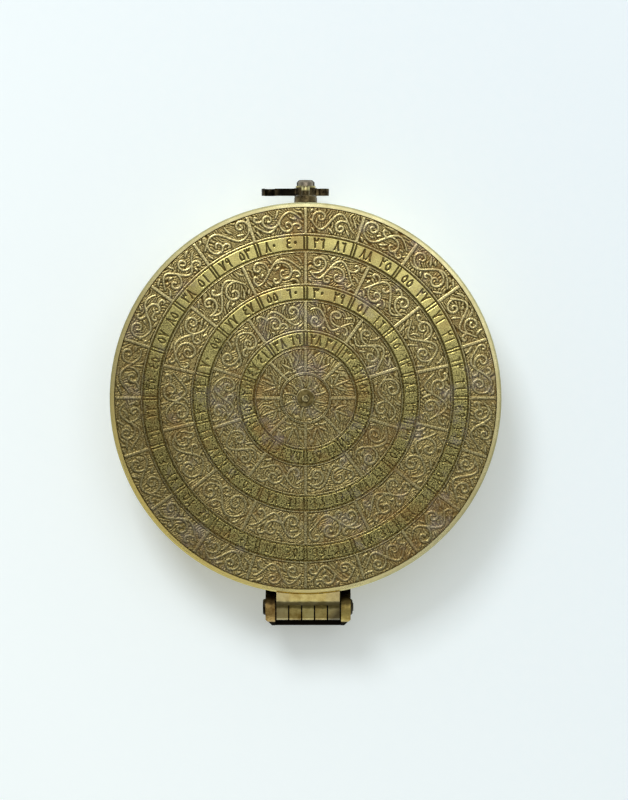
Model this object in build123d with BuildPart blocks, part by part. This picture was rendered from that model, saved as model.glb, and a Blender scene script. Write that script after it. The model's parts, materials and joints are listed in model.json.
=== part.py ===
"""Hinged brass qibla compass: an engraved lid, a swinging hook clasp and a needle under glass.

Frame: the origin is the centre of the face that the box stands on, +Z is up, the clasp is
towards +Y and the hinge towards -Y. All sizes are in millimetres.
"""
import os
from math import cos, radians, sin, sqrt

from build123d import *

os.makedirs("parts", exist_ok=True)

# Case: two turned bands, each with a plate soldered inside it
case_radius = 39.0
band_wall = 0.9
base_height = 13.0
lid_height = 4.9
seam_gap = 0.1
plate_thickness = 0.9
floor_recess = 0.3
plate_inset = 0.05
plate_chamfer = 0.12
solder_gap = 0.04
edge_chamfer = 0.3
cut_through = 2.0

# Engraved lid: sunk name rings and smooth value rings, from the border inwards
plate_border = 0.3
ring_cells = (20, 14, 10, 8)
name_ring_widths = (5.0, 6.3, 5.65, 4.8)
value_ring_widths = (2.9, 2.75, 2.85, 0.0)
ring_fillet = 0.4
field_depth = 0.18
separator_width = 0.5
centre_cells = 4
centre_boss_radius = 1.8

# Dial and compass inside the base
dial_recess = 1.3
dial_thickness = 0.8
ledge_height = 1.0
ledge_width = 1.0
glass_radius = 20.3
glass_thickness = 1.2
glass_fit = 0.05
glass_seat = 0.8
cup_wall = 0.7
cup_floor = 0.7
rose_thickness = 0.4
rose_play = 0.15
glass_ring_width = 0.9
glass_ring_height = 1.0
glass_ring_split = 1.6
lip_wall = 0.6
lip_rise = 1.0
lip_play = 0.25

# Needle on its post
needle_play = 1.4
needle_thickness = 0.35
needle_half_width = 1.5
needle_boss_radius = 2.5
needle_ring_radius = 1.9
needle_ring_hole = 1.1
needle_heading = 22.0
cap_radius = 1.6
cap_shank_radius = 1.1
cap_flange_height = 0.5
cap_dome_height = 1.3
cap_crown = 0.4
cap_side_height = 0.45
cap_top_radius = 0.8
cap_play = 1.2
bearing_radius = 0.75
post_radius = 0.5
post_sharpness = 1.5
post_flange_radius = 1.7
post_flange_height = 0.6
post_rivet_radius = 1.5
post_rivet_height = 0.22
bearing_play = 0.1
rivet_fit = 0.04

# Pointer inside the lid, on the centre rivet
pointer_play = 0.1
pointer_thickness = 0.7
pointer_hub_radius = 3.0
pointer_root_width = 3.0
pointer_end_width = 1.0
pointer_end_clear = 4.0
pointer_point_length = 3.0
pointer_tail = 15.0
pointer_eye_radius = 2.0
pointer_eye_hole = 1.1
pointer_heading = -35.0
lid_rivet_radius = 0.6
lid_rivet_head_radius = 0.85
lid_rivet_head_height = 0.3
lid_rivet_crown_radius = 0.7
lid_rivet_dimple_radius = 0.45
lid_rivet_peen_radius = 1.0
lid_rivet_peen_height = 0.4
lid_rivet_peen_flat = 0.7
lid_washer_radius = 1.7
lid_washer_thickness = 0.15
pointer_washer_radius = 1.7
pointer_washer_thickness = 0.4
pointer_washer_chamfer = 0.15
running_fit = 0.05

# Hinge: five knuckles between two cheeks
hinge_offset_x = 0.5
hinge_width = 13.2
knuckle_count = 5
knuckle_gap = 0.3
knuckle_radius = 2.6
knuckle_wall_gap = 0.15
knuckle_flat_depth = 0.44
knuckle_flat_tilt = 26.0
cheek_thickness = 1.9
cheek_lid_gap = 0.25
cheek_foot = 7.0
cheek_root = 2.7
cheek_back_angle = 20.0
cheek_corner = 1.8
hinge_pin_radius = 0.9
hinge_head_radius = 1.6
hinge_head_height = 0.55
hinge_head_chamfer = 0.25
burr_height = 0.38
leaf_root = 1.8
leaf_run = 1.3
leaf_drop = 0.06
leaf_swing_gap = 0.15
web_thickness = 0.8
web_gap = 0.2
web_lip = 1.2
base_leaf_thickness = 1.0
base_leaf_height = 4.8
neck_half_width = 1.3

# Clasp: hook on the base, catch stud on the lid
boss_radius = 2.3
boss_height = 1.5
boss_chamfer = 0.23
pivot_radius = 1.0
pivot_head_radius = 1.8
pivot_head_height = 1.2
pivot_head_chamfer = 0.45
pivot_inner_radius = 1.4
pivot_inner_height = 0.5
pivot_ledge_gap = 0.2
clasp_washer_radius = 2.0
clasp_washer_thickness = 0.3
hook_play = 0.12
hook_thickness = 1.6
hook_arm_inset = 0.1
hook_arm_root = 1.3
hook_arm_end = 1.05
hook_slot_play = 0.22
hook_wall = 0.65
hook_mouth = 1.2
hook_tail = 3.5
hook_tail_end = 1.2
catch_edge = 0.2
catch_collar_radius = 2.2
catch_collar_chamfer = 0.3
catch_neck_radius = 0.8
catch_head_radius = 1.5
catch_head_height = 1.1
catch_head_chamfer = 0.4
catch_shank_radius = 0.7

# Levels, worked out from the sizes above
band_inner = case_radius - band_wall
seat_radius = band_inner - solder_gap
band_chamfer = min(edge_chamfer, band_wall / 2)
floor_top = floor_recess + plate_thickness
lid_bottom = base_height + seam_gap
lid_top = lid_bottom + lid_height
plate_top = lid_top - plate_inset
plate_bottom = plate_top - plate_thickness
dial_top = base_height - dial_recess
dial_bottom = dial_top - dial_thickness
ledge_bottom = dial_bottom - ledge_height
glass_bore = glass_radius + glass_fit
glass_bottom = dial_bottom - glass_thickness
cup_bore = glass_radius - glass_seat
rose_bottom = floor_top + cup_floor
rose_top = rose_bottom + rose_thickness
cap_top = glass_bottom - cap_play
needle_top = cap_top - cap_dome_height
needle_bottom = needle_top - needle_thickness
bearing_apex = cap_top - cap_crown
pointer_top = plate_bottom - pointer_play
pointer_bottom = pointer_top - pointer_thickness
pointer_washer_bottom = pointer_bottom - pointer_play - pointer_washer_thickness
hinge_y = -(case_radius + knuckle_radius + knuckle_wall_gap)
hinge_z = base_height + seam_gap / 2
knuckle_width = (hinge_width - (knuckle_count + 1) * knuckle_gap) / knuckle_count
knuckle_pitch = knuckle_width + knuckle_gap
flat_reach = knuckle_radius - knuckle_flat_depth
flat_half = sqrt(knuckle_radius**2 - flat_reach**2)
flat_y = hinge_y - flat_reach * sin(radians(knuckle_flat_tilt))
flat_z = hinge_z + flat_reach * cos(radians(knuckle_flat_tilt))
flat_end_y = flat_y + flat_half * cos(radians(knuckle_flat_tilt))
flat_end_z = flat_z + flat_half * sin(radians(knuckle_flat_tilt))
web_top = hinge_z - knuckle_radius - web_gap
tail_y = hinge_y - knuckle_radius - web_lip
pin_left = hinge_offset_x - hinge_width / 2 - cheek_thickness
pin_right = hinge_offset_x + hinge_width / 2 + cheek_thickness
cheek_inner_x = hinge_width / 2 - abs(hinge_offset_x)
cheek_sag = case_radius - sqrt(case_radius**2 - cheek_inner_x**2)
cheek_radius = knuckle_radius + knuckle_wall_gap + cheek_sag - cheek_lid_gap
cheek_back_y = hinge_y - cheek_radius * cos(radians(cheek_back_angle))
cheek_back_z = hinge_z - cheek_radius * sin(radians(cheek_back_angle))
pivot_z = ledge_bottom - pivot_ledge_gap - pivot_inner_radius
catch_z = lid_bottom + catch_edge + catch_collar_radius
hook_reach = catch_z - pivot_z
hook_inner_y = case_radius + boss_height + hook_play
hook_outer_y = hook_inner_y + hook_thickness
clasp_washer_y = hook_outer_y + hook_play
pivot_head_y = clasp_washer_y + clasp_washer_thickness
catch_neck_y = hook_inner_y - hook_play
catch_head_y = hook_outer_y + hook_play

# Rings of the lid, from the border inwards, as many as the plate has room for
name_rings = []
ring_outer = seat_radius - plate_border
for cells, name_width, value_width in zip(ring_cells, name_ring_widths, value_ring_widths):
    ring_inner = ring_outer - name_width
    if ring_inner < centre_boss_radius + name_width / 2:
        break
    name_rings.append((cells, ring_outer, ring_inner))
    ring_outer = ring_inner - ring_fillet
    if value_width > 0:
        ring_outer -= value_width + ring_fillet
name_rings.append((centre_cells, ring_outer, centre_boss_radius))


def clasp_plane(y, z):
    """Plane facing outwards at the clasp: first axis towards the hook's long arm, second up."""
    return Plane(origin=(0, y, z), x_dir=(-1, 0, 0), z_dir=(0, 1, 0))


def knuckle_x(index):
    """Centre of one hinge knuckle, counted from the -X cheek."""
    return hinge_offset_x + (index - (knuckle_count - 1) / 2) * knuckle_pitch


def filed_knuckle():
    """Outline of one knuckle in a sketch across the hinge, with the flat filed on its upper side."""
    with Locations((hinge_y, hinge_z)):
        Circle(knuckle_radius)
    with Locations((flat_y, flat_z)):
        Rectangle(
            2 * flat_half,
            2 * knuckle_flat_depth,
            rotation=knuckle_flat_tilt,
            align=(Align.CENTER, Align.MIN),
            mode=Mode.SUBTRACT,
        )


# Base band: the turned wall of the lower box
with BuildPart() as base_band:
    with BuildSketch():
        Circle(case_radius)
        Circle(band_inner, mode=Mode.SUBTRACT)
    extrude(amount=base_height)
    foot_edges = base_band.edges().filter_by(GeomType.CIRCLE).group_by(Axis.Z)[0]
    chamfer(foot_edges.sort_by(SortBy.RADIUS)[-1], band_chamfer)
    with BuildSketch(clasp_plane(case_radius + cut_through, pivot_z)):
        Circle(pivot_radius + rivet_fit)
    extrude(amount=-(band_wall + 2 * cut_through), mode=Mode.SUBTRACT)
base_band.part.label = "base_band"
export_step(base_band.part, "parts/base_band.step")

# Base floor: recessed so that the box stands on the band's edge
with BuildPart() as base_floor:
    with BuildSketch(Plane.XY.offset(floor_recess)):
        Circle(seat_radius)
        Circle(post_radius + rivet_fit, mode=Mode.SUBTRACT)
    extrude(amount=plate_thickness)
base_floor.part.label = "base_floor"
export_step(base_floor.part, "parts/base_floor.step")

# Dial ledge: square wire ring that carries the dial plate
with BuildPart() as dial_ledge:
    with BuildSketch(Plane.XY.offset(ledge_bottom)):
        Circle(seat_radius)
        Circle(seat_radius - ledge_width, mode=Mode.SUBTRACT)
    extrude(amount=ledge_height)
dial_ledge.part.label = "dial_ledge"
export_step(dial_ledge.part, "parts/dial_ledge.step")

# Dial plate: ring around the compass window
with BuildPart() as dial_plate:
    with BuildSketch(Plane.XY.offset(dial_bottom)):
        Circle(seat_radius)
        Circle(glass_bore, mode=Mode.SUBTRACT)
    extrude(amount=dial_thickness)
dial_plate.part.label = "dial_plate"
export_step(dial_plate.part, "parts/dial_plate.step")

# Closing ring: holds the dial down and stands up inside the lid band
with BuildPart() as closing_ring:
    lip_radius = band_inner - lip_play
    with BuildSketch(Plane.XZ):
        with BuildLine():
            Polyline(
                (lip_radius - lip_wall, dial_top),
                (seat_radius, dial_top),
                (seat_radius, base_height - seam_gap),
                (lip_radius, base_height - seam_gap),
                (lip_radius, base_height + lip_rise),
                (lip_radius - lip_wall, base_height + lip_rise),
                close=True,
            )
        make_face()
    revolve(axis=Axis.Z)
closing_ring.part.label = "closing_ring"
export_step(closing_ring.part, "parts/closing_ring.step")

# Compass cup: spun bowl with a step near its mouth for the glass
with BuildPart() as compass_cup:
    with BuildSketch(Plane.XY.offset(floor_top)):
        Circle(glass_bore + cup_wall)
    extrude(amount=dial_bottom - floor_top)
    with BuildSketch(Plane.XY.offset(rose_bottom)):
        Circle(cup_bore)
    extrude(amount=dial_bottom - rose_bottom, mode=Mode.SUBTRACT)
    with BuildSketch(Plane.XY.offset(glass_bottom)):
        Circle(glass_bore)
    extrude(amount=glass_thickness, mode=Mode.SUBTRACT)
    with BuildSketch(Plane.XY.offset(floor_top)):
        Circle(post_radius + rivet_fit)
    extrude(amount=cup_floor, mode=Mode.SUBTRACT)
compass_cup.part.label = "compass_cup"
export_step(compass_cup.part, "parts/compass_cup.step")

# Compass rose: thin engraved disc on the cup's floor
with BuildPart() as compass_rose:
    with BuildSketch(Plane.XY.offset(rose_bottom)):
        Circle(cup_bore - rose_play)
        Circle(post_radius + rivet_fit, mode=Mode.SUBTRACT)
    extrude(amount=rose_thickness)
compass_rose.part.label = "compass_rose"
export_step(compass_rose.part, "parts/compass_rose.step")

# Needle post: steel pivot riveted through the floor, with a pointed tip
with BuildPart() as needle_post:
    tip_height = bearing_apex - bearing_play
    bearing_slope = (bearing_apex - needle_bottom + cap_flange_height) / bearing_radius
    cone_height = post_sharpness * post_radius * bearing_slope
    with BuildSketch(Plane.XZ):
        with BuildLine():
            Polyline(
                (0, floor_recess - post_rivet_height),
                (post_rivet_radius, floor_recess - post_rivet_height),
                (post_rivet_radius, floor_recess),
                (post_radius, floor_recess),
                (post_radius, rose_top),
                (post_flange_radius, rose_top),
                (post_radius, rose_top + post_flange_height),
                (post_radius, tip_height - cone_height),
                (0, tip_height),
                close=True,
            )
        make_face()
    revolve(axis=Axis.Z)
needle_post.part.label = "needle_post"
export_step(needle_post.part, "parts/needle_post.step")

# Compass needle: lozenge blade with a boss, and an open ring that marks its north half
needle_reach = cup_bore - needle_play
with BuildPart() as compass_needle:
    with BuildSketch(Plane.XY.offset(needle_bottom).rotated((0, 0, -needle_heading))):
        with BuildLine():
            Polyline(
                (needle_half_width, 0),
                (0, needle_reach),
                (-needle_half_width, 0),
                (0, -needle_reach),
                close=True,
            )
        make_face()
        Circle(needle_boss_radius)
        with Locations((0, needle_reach / 2)):
            Circle(needle_ring_radius)
            Circle(needle_ring_hole, mode=Mode.SUBTRACT)
        Circle(cap_shank_radius + rivet_fit, mode=Mode.SUBTRACT)
    extrude(amount=needle_thickness)
compass_needle.part.label = "compass_needle"
export_step(compass_needle.part, "parts/compass_needle.step")

# Needle cap: turned brass bearing with a conical hollow for the post
with BuildPart() as needle_cap:
    cap_bottom = needle_bottom - cap_flange_height
    with BuildSketch(Plane.XZ):
        with BuildLine():
            Polyline(
                (bearing_radius, cap_bottom),
                (cap_radius, cap_bottom),
                (cap_radius, needle_bottom),
                (cap_shank_radius, needle_bottom),
                (cap_shank_radius, needle_top),
                (cap_radius, needle_top),
                (cap_radius, needle_top + cap_side_height),
                (cap_top_radius, cap_top),
                (0, cap_top),
                (0, bearing_apex),
                close=True,
            )
        make_face()
    revolve(axis=Axis.Z)
needle_cap.part.label = "needle_cap"
export_step(needle_cap.part, "parts/needle_cap.step")

# Compass glass, let into the cup's mouth
with BuildPart() as compass_glass:
    with BuildSketch(Plane.XY.offset(glass_bottom)):
        Circle(glass_radius)
    extrude(amount=glass_thickness)
compass_glass.part.label = "compass_glass"
export_step(compass_glass.part, "parts/compass_glass.step")

# Glass ring: split spring ring that holds the glass down
with BuildPart() as glass_ring:
    with BuildSketch(Plane.XY.offset(dial_bottom)):
        Circle(glass_radius)
        Circle(glass_radius - glass_ring_width, mode=Mode.SUBTRACT)
        with Locations((0, -glass_radius)):
            Rectangle(glass_ring_split, 4 * glass_ring_width, mode=Mode.SUBTRACT)
    extrude(amount=glass_ring_height)
glass_ring.part.label = "glass_ring"
export_step(glass_ring.part, "parts/glass_ring.step")

# Hinge base leaf: wall plate, web under the barrel and the even knuckles
with BuildPart() as hinge_base_leaf:
    leaf_left = hinge_offset_x - hinge_width / 2
    plate_y = -(case_radius + base_leaf_thickness)
    with BuildSketch(Plane.YZ.offset(leaf_left)):
        with BuildLine():
            Polyline(
                (-case_radius + base_leaf_thickness, web_top),
                (tail_y, web_top),
                (tail_y, web_top - web_thickness),
                (plate_y, web_top - web_thickness),
                (plate_y, web_top - base_leaf_height),
                (-case_radius + base_leaf_thickness, web_top - base_leaf_height),
                close=True,
            )
        make_face()
    extrude(amount=hinge_width)
    for index in range(1, knuckle_count, 2):
        with BuildSketch(Plane.YZ.offset(knuckle_x(index) - knuckle_width / 2)):
            filed_knuckle()
            with Locations((hinge_y, (hinge_z + web_top) / 2)):
                Rectangle(2 * neck_half_width, hinge_z - web_top)
        extrude(amount=knuckle_width)
    with BuildSketch(Plane.YZ.offset(leaf_left)):
        with Locations((hinge_y, hinge_z)):
            Circle(hinge_pin_radius + running_fit)
    extrude(amount=hinge_width, mode=Mode.SUBTRACT)
    with BuildSketch():
        Circle(case_radius + solder_gap)
    extrude(amount=lid_top, mode=Mode.SUBTRACT)
hinge_base_leaf.part.label = "hinge_base_leaf"
export_step(hinge_base_leaf.part, "parts/hinge_base_leaf.step")

# Hinge cheeks: thick lugs on the base band that carry the pin's ends, cut away at their outer back corner
cheek_places = {
    "hinge_cheek_left": (pin_left, pin_left),
    "hinge_cheek_right": (pin_right - cheek_thickness, pin_right),
}
for cheek_name, (cheek_x, corner_x) in cheek_places.items():
    with BuildPart() as hinge_cheek:
        with BuildSketch(Plane.YZ.offset(cheek_x)):
            with Locations((hinge_y, hinge_z)):
                Circle(cheek_radius)
            with BuildLine():
                Polyline(
                    (-case_radius + cheek_root, base_height - seam_gap),
                    (hinge_y, base_height - seam_gap),
                    (cheek_back_y, cheek_back_z),
                    (tail_y, web_top + web_thickness),
                    (tail_y, web_top - web_thickness),
                    (hinge_y, web_top - 2 * web_thickness),
                    (-case_radius, hinge_z - cheek_foot),
                    (-case_radius + cheek_root, hinge_z - cheek_foot),
                    close=True,
                )
            make_face()
        extrude(amount=cheek_thickness)
        with BuildSketch(Plane.YZ.offset(cheek_x)):
            with Locations((hinge_y, hinge_z)):
                Circle(hinge_pin_radius + rivet_fit)
        extrude(amount=cheek_thickness, mode=Mode.SUBTRACT)
        with BuildSketch():
            Circle(case_radius + solder_gap)
            with Locations((corner_x, tail_y)):
                Rectangle(cheek_corner, cheek_corner, rotation=45)
        extrude(amount=lid_top, mode=Mode.SUBTRACT)
    hinge_cheek.part.label = cheek_name
    export_step(hinge_cheek.part, f"parts/{cheek_name}.step")

# Hinge pin: headed at its -X end, its +X end peened over a burr washer
with BuildPart() as hinge_pin:
    with BuildSketch(Plane.YZ.offset(pin_left)):
        with Locations((hinge_y, hinge_z)):
            Circle(hinge_pin_radius)
    extrude(amount=pin_right - pin_left + hinge_head_height)
    with BuildSketch(Plane.YZ.offset(pin_left - hinge_head_height)):
        with Locations((hinge_y, hinge_z)):
            Circle(hinge_head_radius)
    extrude(amount=hinge_head_height)
    chamfer(hinge_pin.edges().group_by(Axis.X)[0], hinge_head_chamfer)
    chamfer(hinge_pin.edges().group_by(Axis.X)[-1], hinge_head_chamfer / 2)
hinge_pin.part.label = "hinge_pin"
export_step(hinge_pin.part, "parts/hinge_pin.step")

with BuildPart() as hinge_pin_burr:
    with BuildSketch(Plane.YZ.offset(pin_right)):
        with Locations((hinge_y, hinge_z)):
            Circle(hinge_head_radius)
            Circle(hinge_pin_radius + rivet_fit, mode=Mode.SUBTRACT)
    extrude(amount=burr_height)
    burr_edges = hinge_pin_burr.edges().group_by(Axis.X)[-1].sort_by(SortBy.RADIUS)
    chamfer(burr_edges[-1], hinge_head_chamfer)
hinge_pin_burr.part.label = "hinge_pin_burr"
export_step(hinge_pin_burr.part, "parts/hinge_pin_burr.step")

# Clasp boss: spacer on the base band under the hook
with BuildPart() as clasp_boss:
    with BuildSketch(clasp_plane(band_inner, pivot_z)):
        Circle(boss_radius)
        Circle(pivot_radius + rivet_fit, mode=Mode.SUBTRACT)
    extrude(amount=band_wall + boss_height)
    face_edges = clasp_boss.edges().group_by(Axis.Y)[-1].sort_by(SortBy.RADIUS)
    chamfer(face_edges[-1], boss_chamfer)
    with BuildSketch():
        Circle(case_radius + solder_gap)
    extrude(amount=base_height, mode=Mode.SUBTRACT)
clasp_boss.part.label = "clasp_boss"
export_step(clasp_boss.part, "parts/clasp_boss.step")

# Clasp pivot: rivet through the band, boss, hook and washer
with BuildPart() as clasp_pivot:
    inner_face_y = sqrt(band_inner**2 - pivot_inner_radius**2)
    with BuildSketch(clasp_plane(inner_face_y - pivot_inner_height, pivot_z)):
        Circle(pivot_inner_radius)
    extrude(amount=pivot_inner_height)
    with BuildSketch(clasp_plane(inner_face_y, pivot_z)):
        Circle(pivot_radius)
    extrude(amount=pivot_head_y - inner_face_y)
    with BuildSketch(clasp_plane(pivot_head_y, pivot_z)):
        Circle(pivot_head_radius)
    extrude(amount=pivot_head_height)
    chamfer(clasp_pivot.edges().group_by(Axis.Y)[-1], pivot_head_chamfer)
clasp_pivot.part.label = "clasp_pivot"
export_step(clasp_pivot.part, "parts/clasp_pivot.step")

with BuildPart() as clasp_washer:
    with BuildSketch(clasp_plane(clasp_washer_y, pivot_z)):
        Circle(clasp_washer_radius)
        Circle(pivot_radius + rivet_fit, mode=Mode.SUBTRACT)
    extrude(amount=clasp_washer_thickness)
clasp_washer.part.label = "clasp_washer"
export_step(clasp_washer.part, "parts/clasp_washer.step")

# Clasp hook: hub, long arm with a notch that opens upwards at rest, and a short thumb tail
slot_radius = catch_neck_radius + hook_slot_play
pad_radius = slot_radius + hook_wall
with BuildPart() as clasp_hook:
    with BuildSketch(clasp_plane(hook_inner_y, pivot_z)):
        Circle(boss_radius)
    extrude(amount=hook_thickness)
    with BuildSketch(clasp_plane(hook_inner_y + hook_arm_inset, pivot_z)):
        with BuildLine():
            Polyline(
                (hook_reach, hook_arm_end),
                (0, hook_arm_root),
                (-hook_tail, hook_tail_end / 2),
                (-hook_tail, -hook_tail_end / 2),
                (0, -hook_arm_root),
                (hook_reach, -hook_arm_end),
                close=True,
            )
        make_face()
        with Locations((-hook_tail, 0)):
            Circle(hook_tail_end)
        with Locations((hook_reach, 0)):
            Circle(pad_radius)
        with Locations((hook_reach, hook_mouth + pad_radius)):
            Rectangle(4 * pad_radius, 2 * pad_radius, mode=Mode.SUBTRACT)
        with Locations((hook_reach, 0)):
            Circle(slot_radius, mode=Mode.SUBTRACT)
        with Locations((hook_reach, pad_radius)):
            Rectangle(2 * slot_radius, 2 * pad_radius, mode=Mode.SUBTRACT)
    extrude(amount=hook_thickness - 2 * hook_arm_inset)
    with BuildSketch(clasp_plane(hook_inner_y, pivot_z)):
        Circle(pivot_radius + running_fit)
    extrude(amount=hook_thickness, mode=Mode.SUBTRACT)
clasp_hook.part.label = "clasp_hook"
export_step(clasp_hook.part, "parts/clasp_hook.step")

# Lid band: the turned wall of the lid
with BuildPart() as lid_band:
    with BuildSketch(Plane.XY.offset(lid_bottom)):
        Circle(case_radius)
        Circle(band_inner, mode=Mode.SUBTRACT)
    extrude(amount=lid_height)
    rim_edges = lid_band.edges().filter_by(GeomType.CIRCLE).group_by(Axis.Z)[-1]
    chamfer(rim_edges.sort_by(SortBy.RADIUS)[-1], band_chamfer)
    with BuildSketch(clasp_plane(case_radius + cut_through, catch_z)):
        Circle(catch_shank_radius + rivet_fit)
    extrude(amount=-(band_wall + 2 * cut_through), mode=Mode.SUBTRACT)
lid_band.part.label = "lid_band"
export_step(lid_band.part, "parts/lid_band.step")

# Lid plate: sunk name rings with raised separators, and smooth value rings between them
with BuildPart() as lid_plate:
    with BuildSketch(Plane.XY.offset(plate_bottom)):
        Circle(seat_radius)
        Circle(lid_rivet_radius + rivet_fit, mode=Mode.SUBTRACT)
    extrude(amount=plate_thickness)
    rim_edges = lid_plate.edges().filter_by(GeomType.CIRCLE).group_by(Axis.Z)[-1]
    chamfer(rim_edges.sort_by(SortBy.RADIUS)[-1], plate_chamfer)
    for cells, ring_outer, ring_inner in name_rings:
        with BuildSketch(Plane.XY.offset(plate_top)):
            Circle(ring_outer)
            Circle(ring_inner, mode=Mode.SUBTRACT)
            with PolarLocations((ring_outer + ring_inner) / 2, cells, start_angle=90):
                Rectangle(2 * (ring_outer - ring_inner), separator_width, mode=Mode.SUBTRACT)
        extrude(amount=-field_depth, mode=Mode.SUBTRACT)
lid_plate.part.label = "lid_plate"
export_step(lid_plate.part, "parts/lid_plate.step")

# Hinge lid leaf: block on the lid band that runs down into the odd knuckles
with BuildPart() as hinge_lid_leaf:
    leaf_half = hinge_width / 2 - knuckle_gap
    with BuildSketch(Plane.YZ.offset(hinge_offset_x - leaf_half)):
        with BuildLine():
            Polyline(
                (-case_radius + leaf_root, plate_top),
                (-case_radius, plate_top),
                (-case_radius - leaf_run, lid_top - leaf_drop),
                (flat_end_y, flat_end_z),
                (hinge_y, lid_bottom + seam_gap),
                (-case_radius + leaf_root, lid_bottom + seam_gap),
                close=True,
            )
        make_face()
    extrude(amount=2 * leaf_half)
    for index in range(0, knuckle_count, 2):
        with BuildSketch(Plane.YZ.offset(knuckle_x(index) - knuckle_width / 2)):
            filed_knuckle()
        extrude(amount=knuckle_width)
    for index in range(1, knuckle_count, 2):
        with BuildSketch(Plane.YZ.offset(knuckle_x(index) - knuckle_width / 2 - knuckle_gap)):
            with Locations((hinge_y, hinge_z)):
                Circle(knuckle_radius + leaf_swing_gap)
        extrude(amount=knuckle_width + 2 * knuckle_gap, mode=Mode.SUBTRACT)
    with BuildSketch(Plane.YZ.offset(hinge_offset_x - leaf_half)):
        with Locations((hinge_y, hinge_z)):
            Circle(hinge_pin_radius + running_fit)
    extrude(amount=2 * leaf_half, mode=Mode.SUBTRACT)
    with BuildSketch():
        Circle(case_radius + solder_gap)
    extrude(amount=2 * lid_top, mode=Mode.SUBTRACT)
hinge_lid_leaf.part.label = "hinge_lid_leaf"
export_step(hinge_lid_leaf.part, "parts/hinge_lid_leaf.step")

# Catch stud on the lid band: collar, neck for the hook's notch, and a round head
with BuildPart() as catch_stud:
    with BuildSketch(clasp_plane(band_inner, catch_z)):
        Circle(catch_collar_radius)
    extrude(amount=catch_neck_y - band_inner)
    face_edges = catch_stud.edges().group_by(Axis.Y)[-1]
    chamfer(face_edges, catch_collar_chamfer)
    with BuildSketch():
        Circle(case_radius + solder_gap)
    extrude(amount=lid_top, mode=Mode.SUBTRACT)
    with BuildSketch(clasp_plane(band_inner, catch_z)):
        Circle(catch_shank_radius)
    extrude(amount=catch_neck_y - band_inner)
    with BuildSketch(clasp_plane(catch_neck_y, catch_z)):
        Circle(catch_neck_radius)
    extrude(amount=catch_head_y - catch_neck_y)
    with BuildSketch(clasp_plane(catch_head_y, catch_z)):
        Circle(catch_head_radius)
    extrude(amount=catch_head_height)
    chamfer(catch_stud.edges().group_by(Axis.Y)[-1], catch_head_chamfer)
catch_stud.part.label = "catch_stud"
export_step(catch_stud.part, "parts/catch_stud.step")

# Lid rivet: dimpled head outside, shank through the pointer, peened end inside
with BuildPart() as lid_rivet:
    head_bottom = plate_top + lid_washer_thickness
    peen_bottom = pointer_washer_bottom - lid_rivet_peen_height
    with BuildSketch(Plane.XZ):
        with BuildLine():
            Polyline(
                (0, peen_bottom),
                (lid_rivet_peen_flat, peen_bottom),
                (lid_rivet_peen_radius, pointer_washer_bottom - lid_rivet_peen_height / 2),
                (lid_rivet_peen_radius, pointer_washer_bottom),
                (lid_rivet_radius, pointer_washer_bottom),
                (lid_rivet_radius, head_bottom),
                (lid_rivet_head_radius, head_bottom),
                (lid_rivet_crown_radius, head_bottom + lid_rivet_head_height),
                (lid_rivet_dimple_radius, head_bottom + lid_rivet_head_height),
                (0, head_bottom),
                close=True,
            )
        make_face()
    revolve(axis=Axis.Z)
lid_rivet.part.label = "lid_rivet"
export_step(lid_rivet.part, "parts/lid_rivet.step")

with BuildPart() as lid_rivet_washer:
    with BuildSketch(Plane.XY.offset(plate_top)):
        Circle(lid_washer_radius)
        Circle(lid_rivet_radius + rivet_fit, mode=Mode.SUBTRACT)
    extrude(amount=lid_washer_thickness)
lid_rivet_washer.part.label = "lid_rivet_washer"
export_step(lid_rivet_washer.part, "parts/lid_rivet_washer.step")

# Pointer washer: keeps the pointer on the rivet and rubs on it
with BuildPart() as pointer_washer:
    with BuildSketch(Plane.XY.offset(pointer_washer_bottom)):
        Circle(pointer_washer_radius)
        Circle(lid_rivet_radius + rivet_fit, mode=Mode.SUBTRACT)
    extrude(amount=pointer_washer_thickness)
    lower_edges = pointer_washer.edges().group_by(Axis.Z)[0].sort_by(SortBy.RADIUS)
    chamfer(lower_edges[-1], pointer_washer_chamfer)
pointer_washer.part.label = "pointer_washer"
export_step(pointer_washer.part, "parts/pointer_washer.step")

# Qibla pointer: tapered blade with a hub, a sharp end and an eye on its tail
pointer_reach = band_inner - pointer_end_clear
with BuildPart() as qibla_pointer:
    with BuildSketch(Plane.XY.offset(pointer_bottom).rotated((0, 0, -pointer_heading))):
        with BuildLine():
            Polyline(
                (pointer_root_width / 2, 0),
                (pointer_end_width / 2, pointer_reach - pointer_point_length),
                (pointer_end_width, pointer_reach - pointer_point_length),
                (0, pointer_reach),
                (-pointer_end_width, pointer_reach - pointer_point_length),
                (-pointer_end_width / 2, pointer_reach - pointer_point_length),
                (-pointer_root_width / 2, 0),
                (-pointer_end_width / 2, -pointer_tail),
                (pointer_end_width / 2, -pointer_tail),
                close=True,
            )
        make_face()
        Circle(pointer_hub_radius)
        with Locations((0, -pointer_tail)):
            Circle(pointer_eye_radius)
            Circle(pointer_eye_hole, mode=Mode.SUBTRACT)
        Circle(lid_rivet_radius + running_fit, mode=Mode.SUBTRACT)
    extrude(amount=pointer_thickness)
qibla_pointer.part.label = "qibla_pointer"
export_step(qibla_pointer.part, "parts/qibla_pointer.step")
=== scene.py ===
"""Looks of a hinged brass qibla compass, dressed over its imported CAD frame, as a lesson in cells."""
# %% [markdown]
# ## The frame
# The imported CAD model is the fixed frame. Every piece below sits on it, in metres.

# %% Load the frame
import json
from math import atan2, cos, pi, radians, sin

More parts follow.
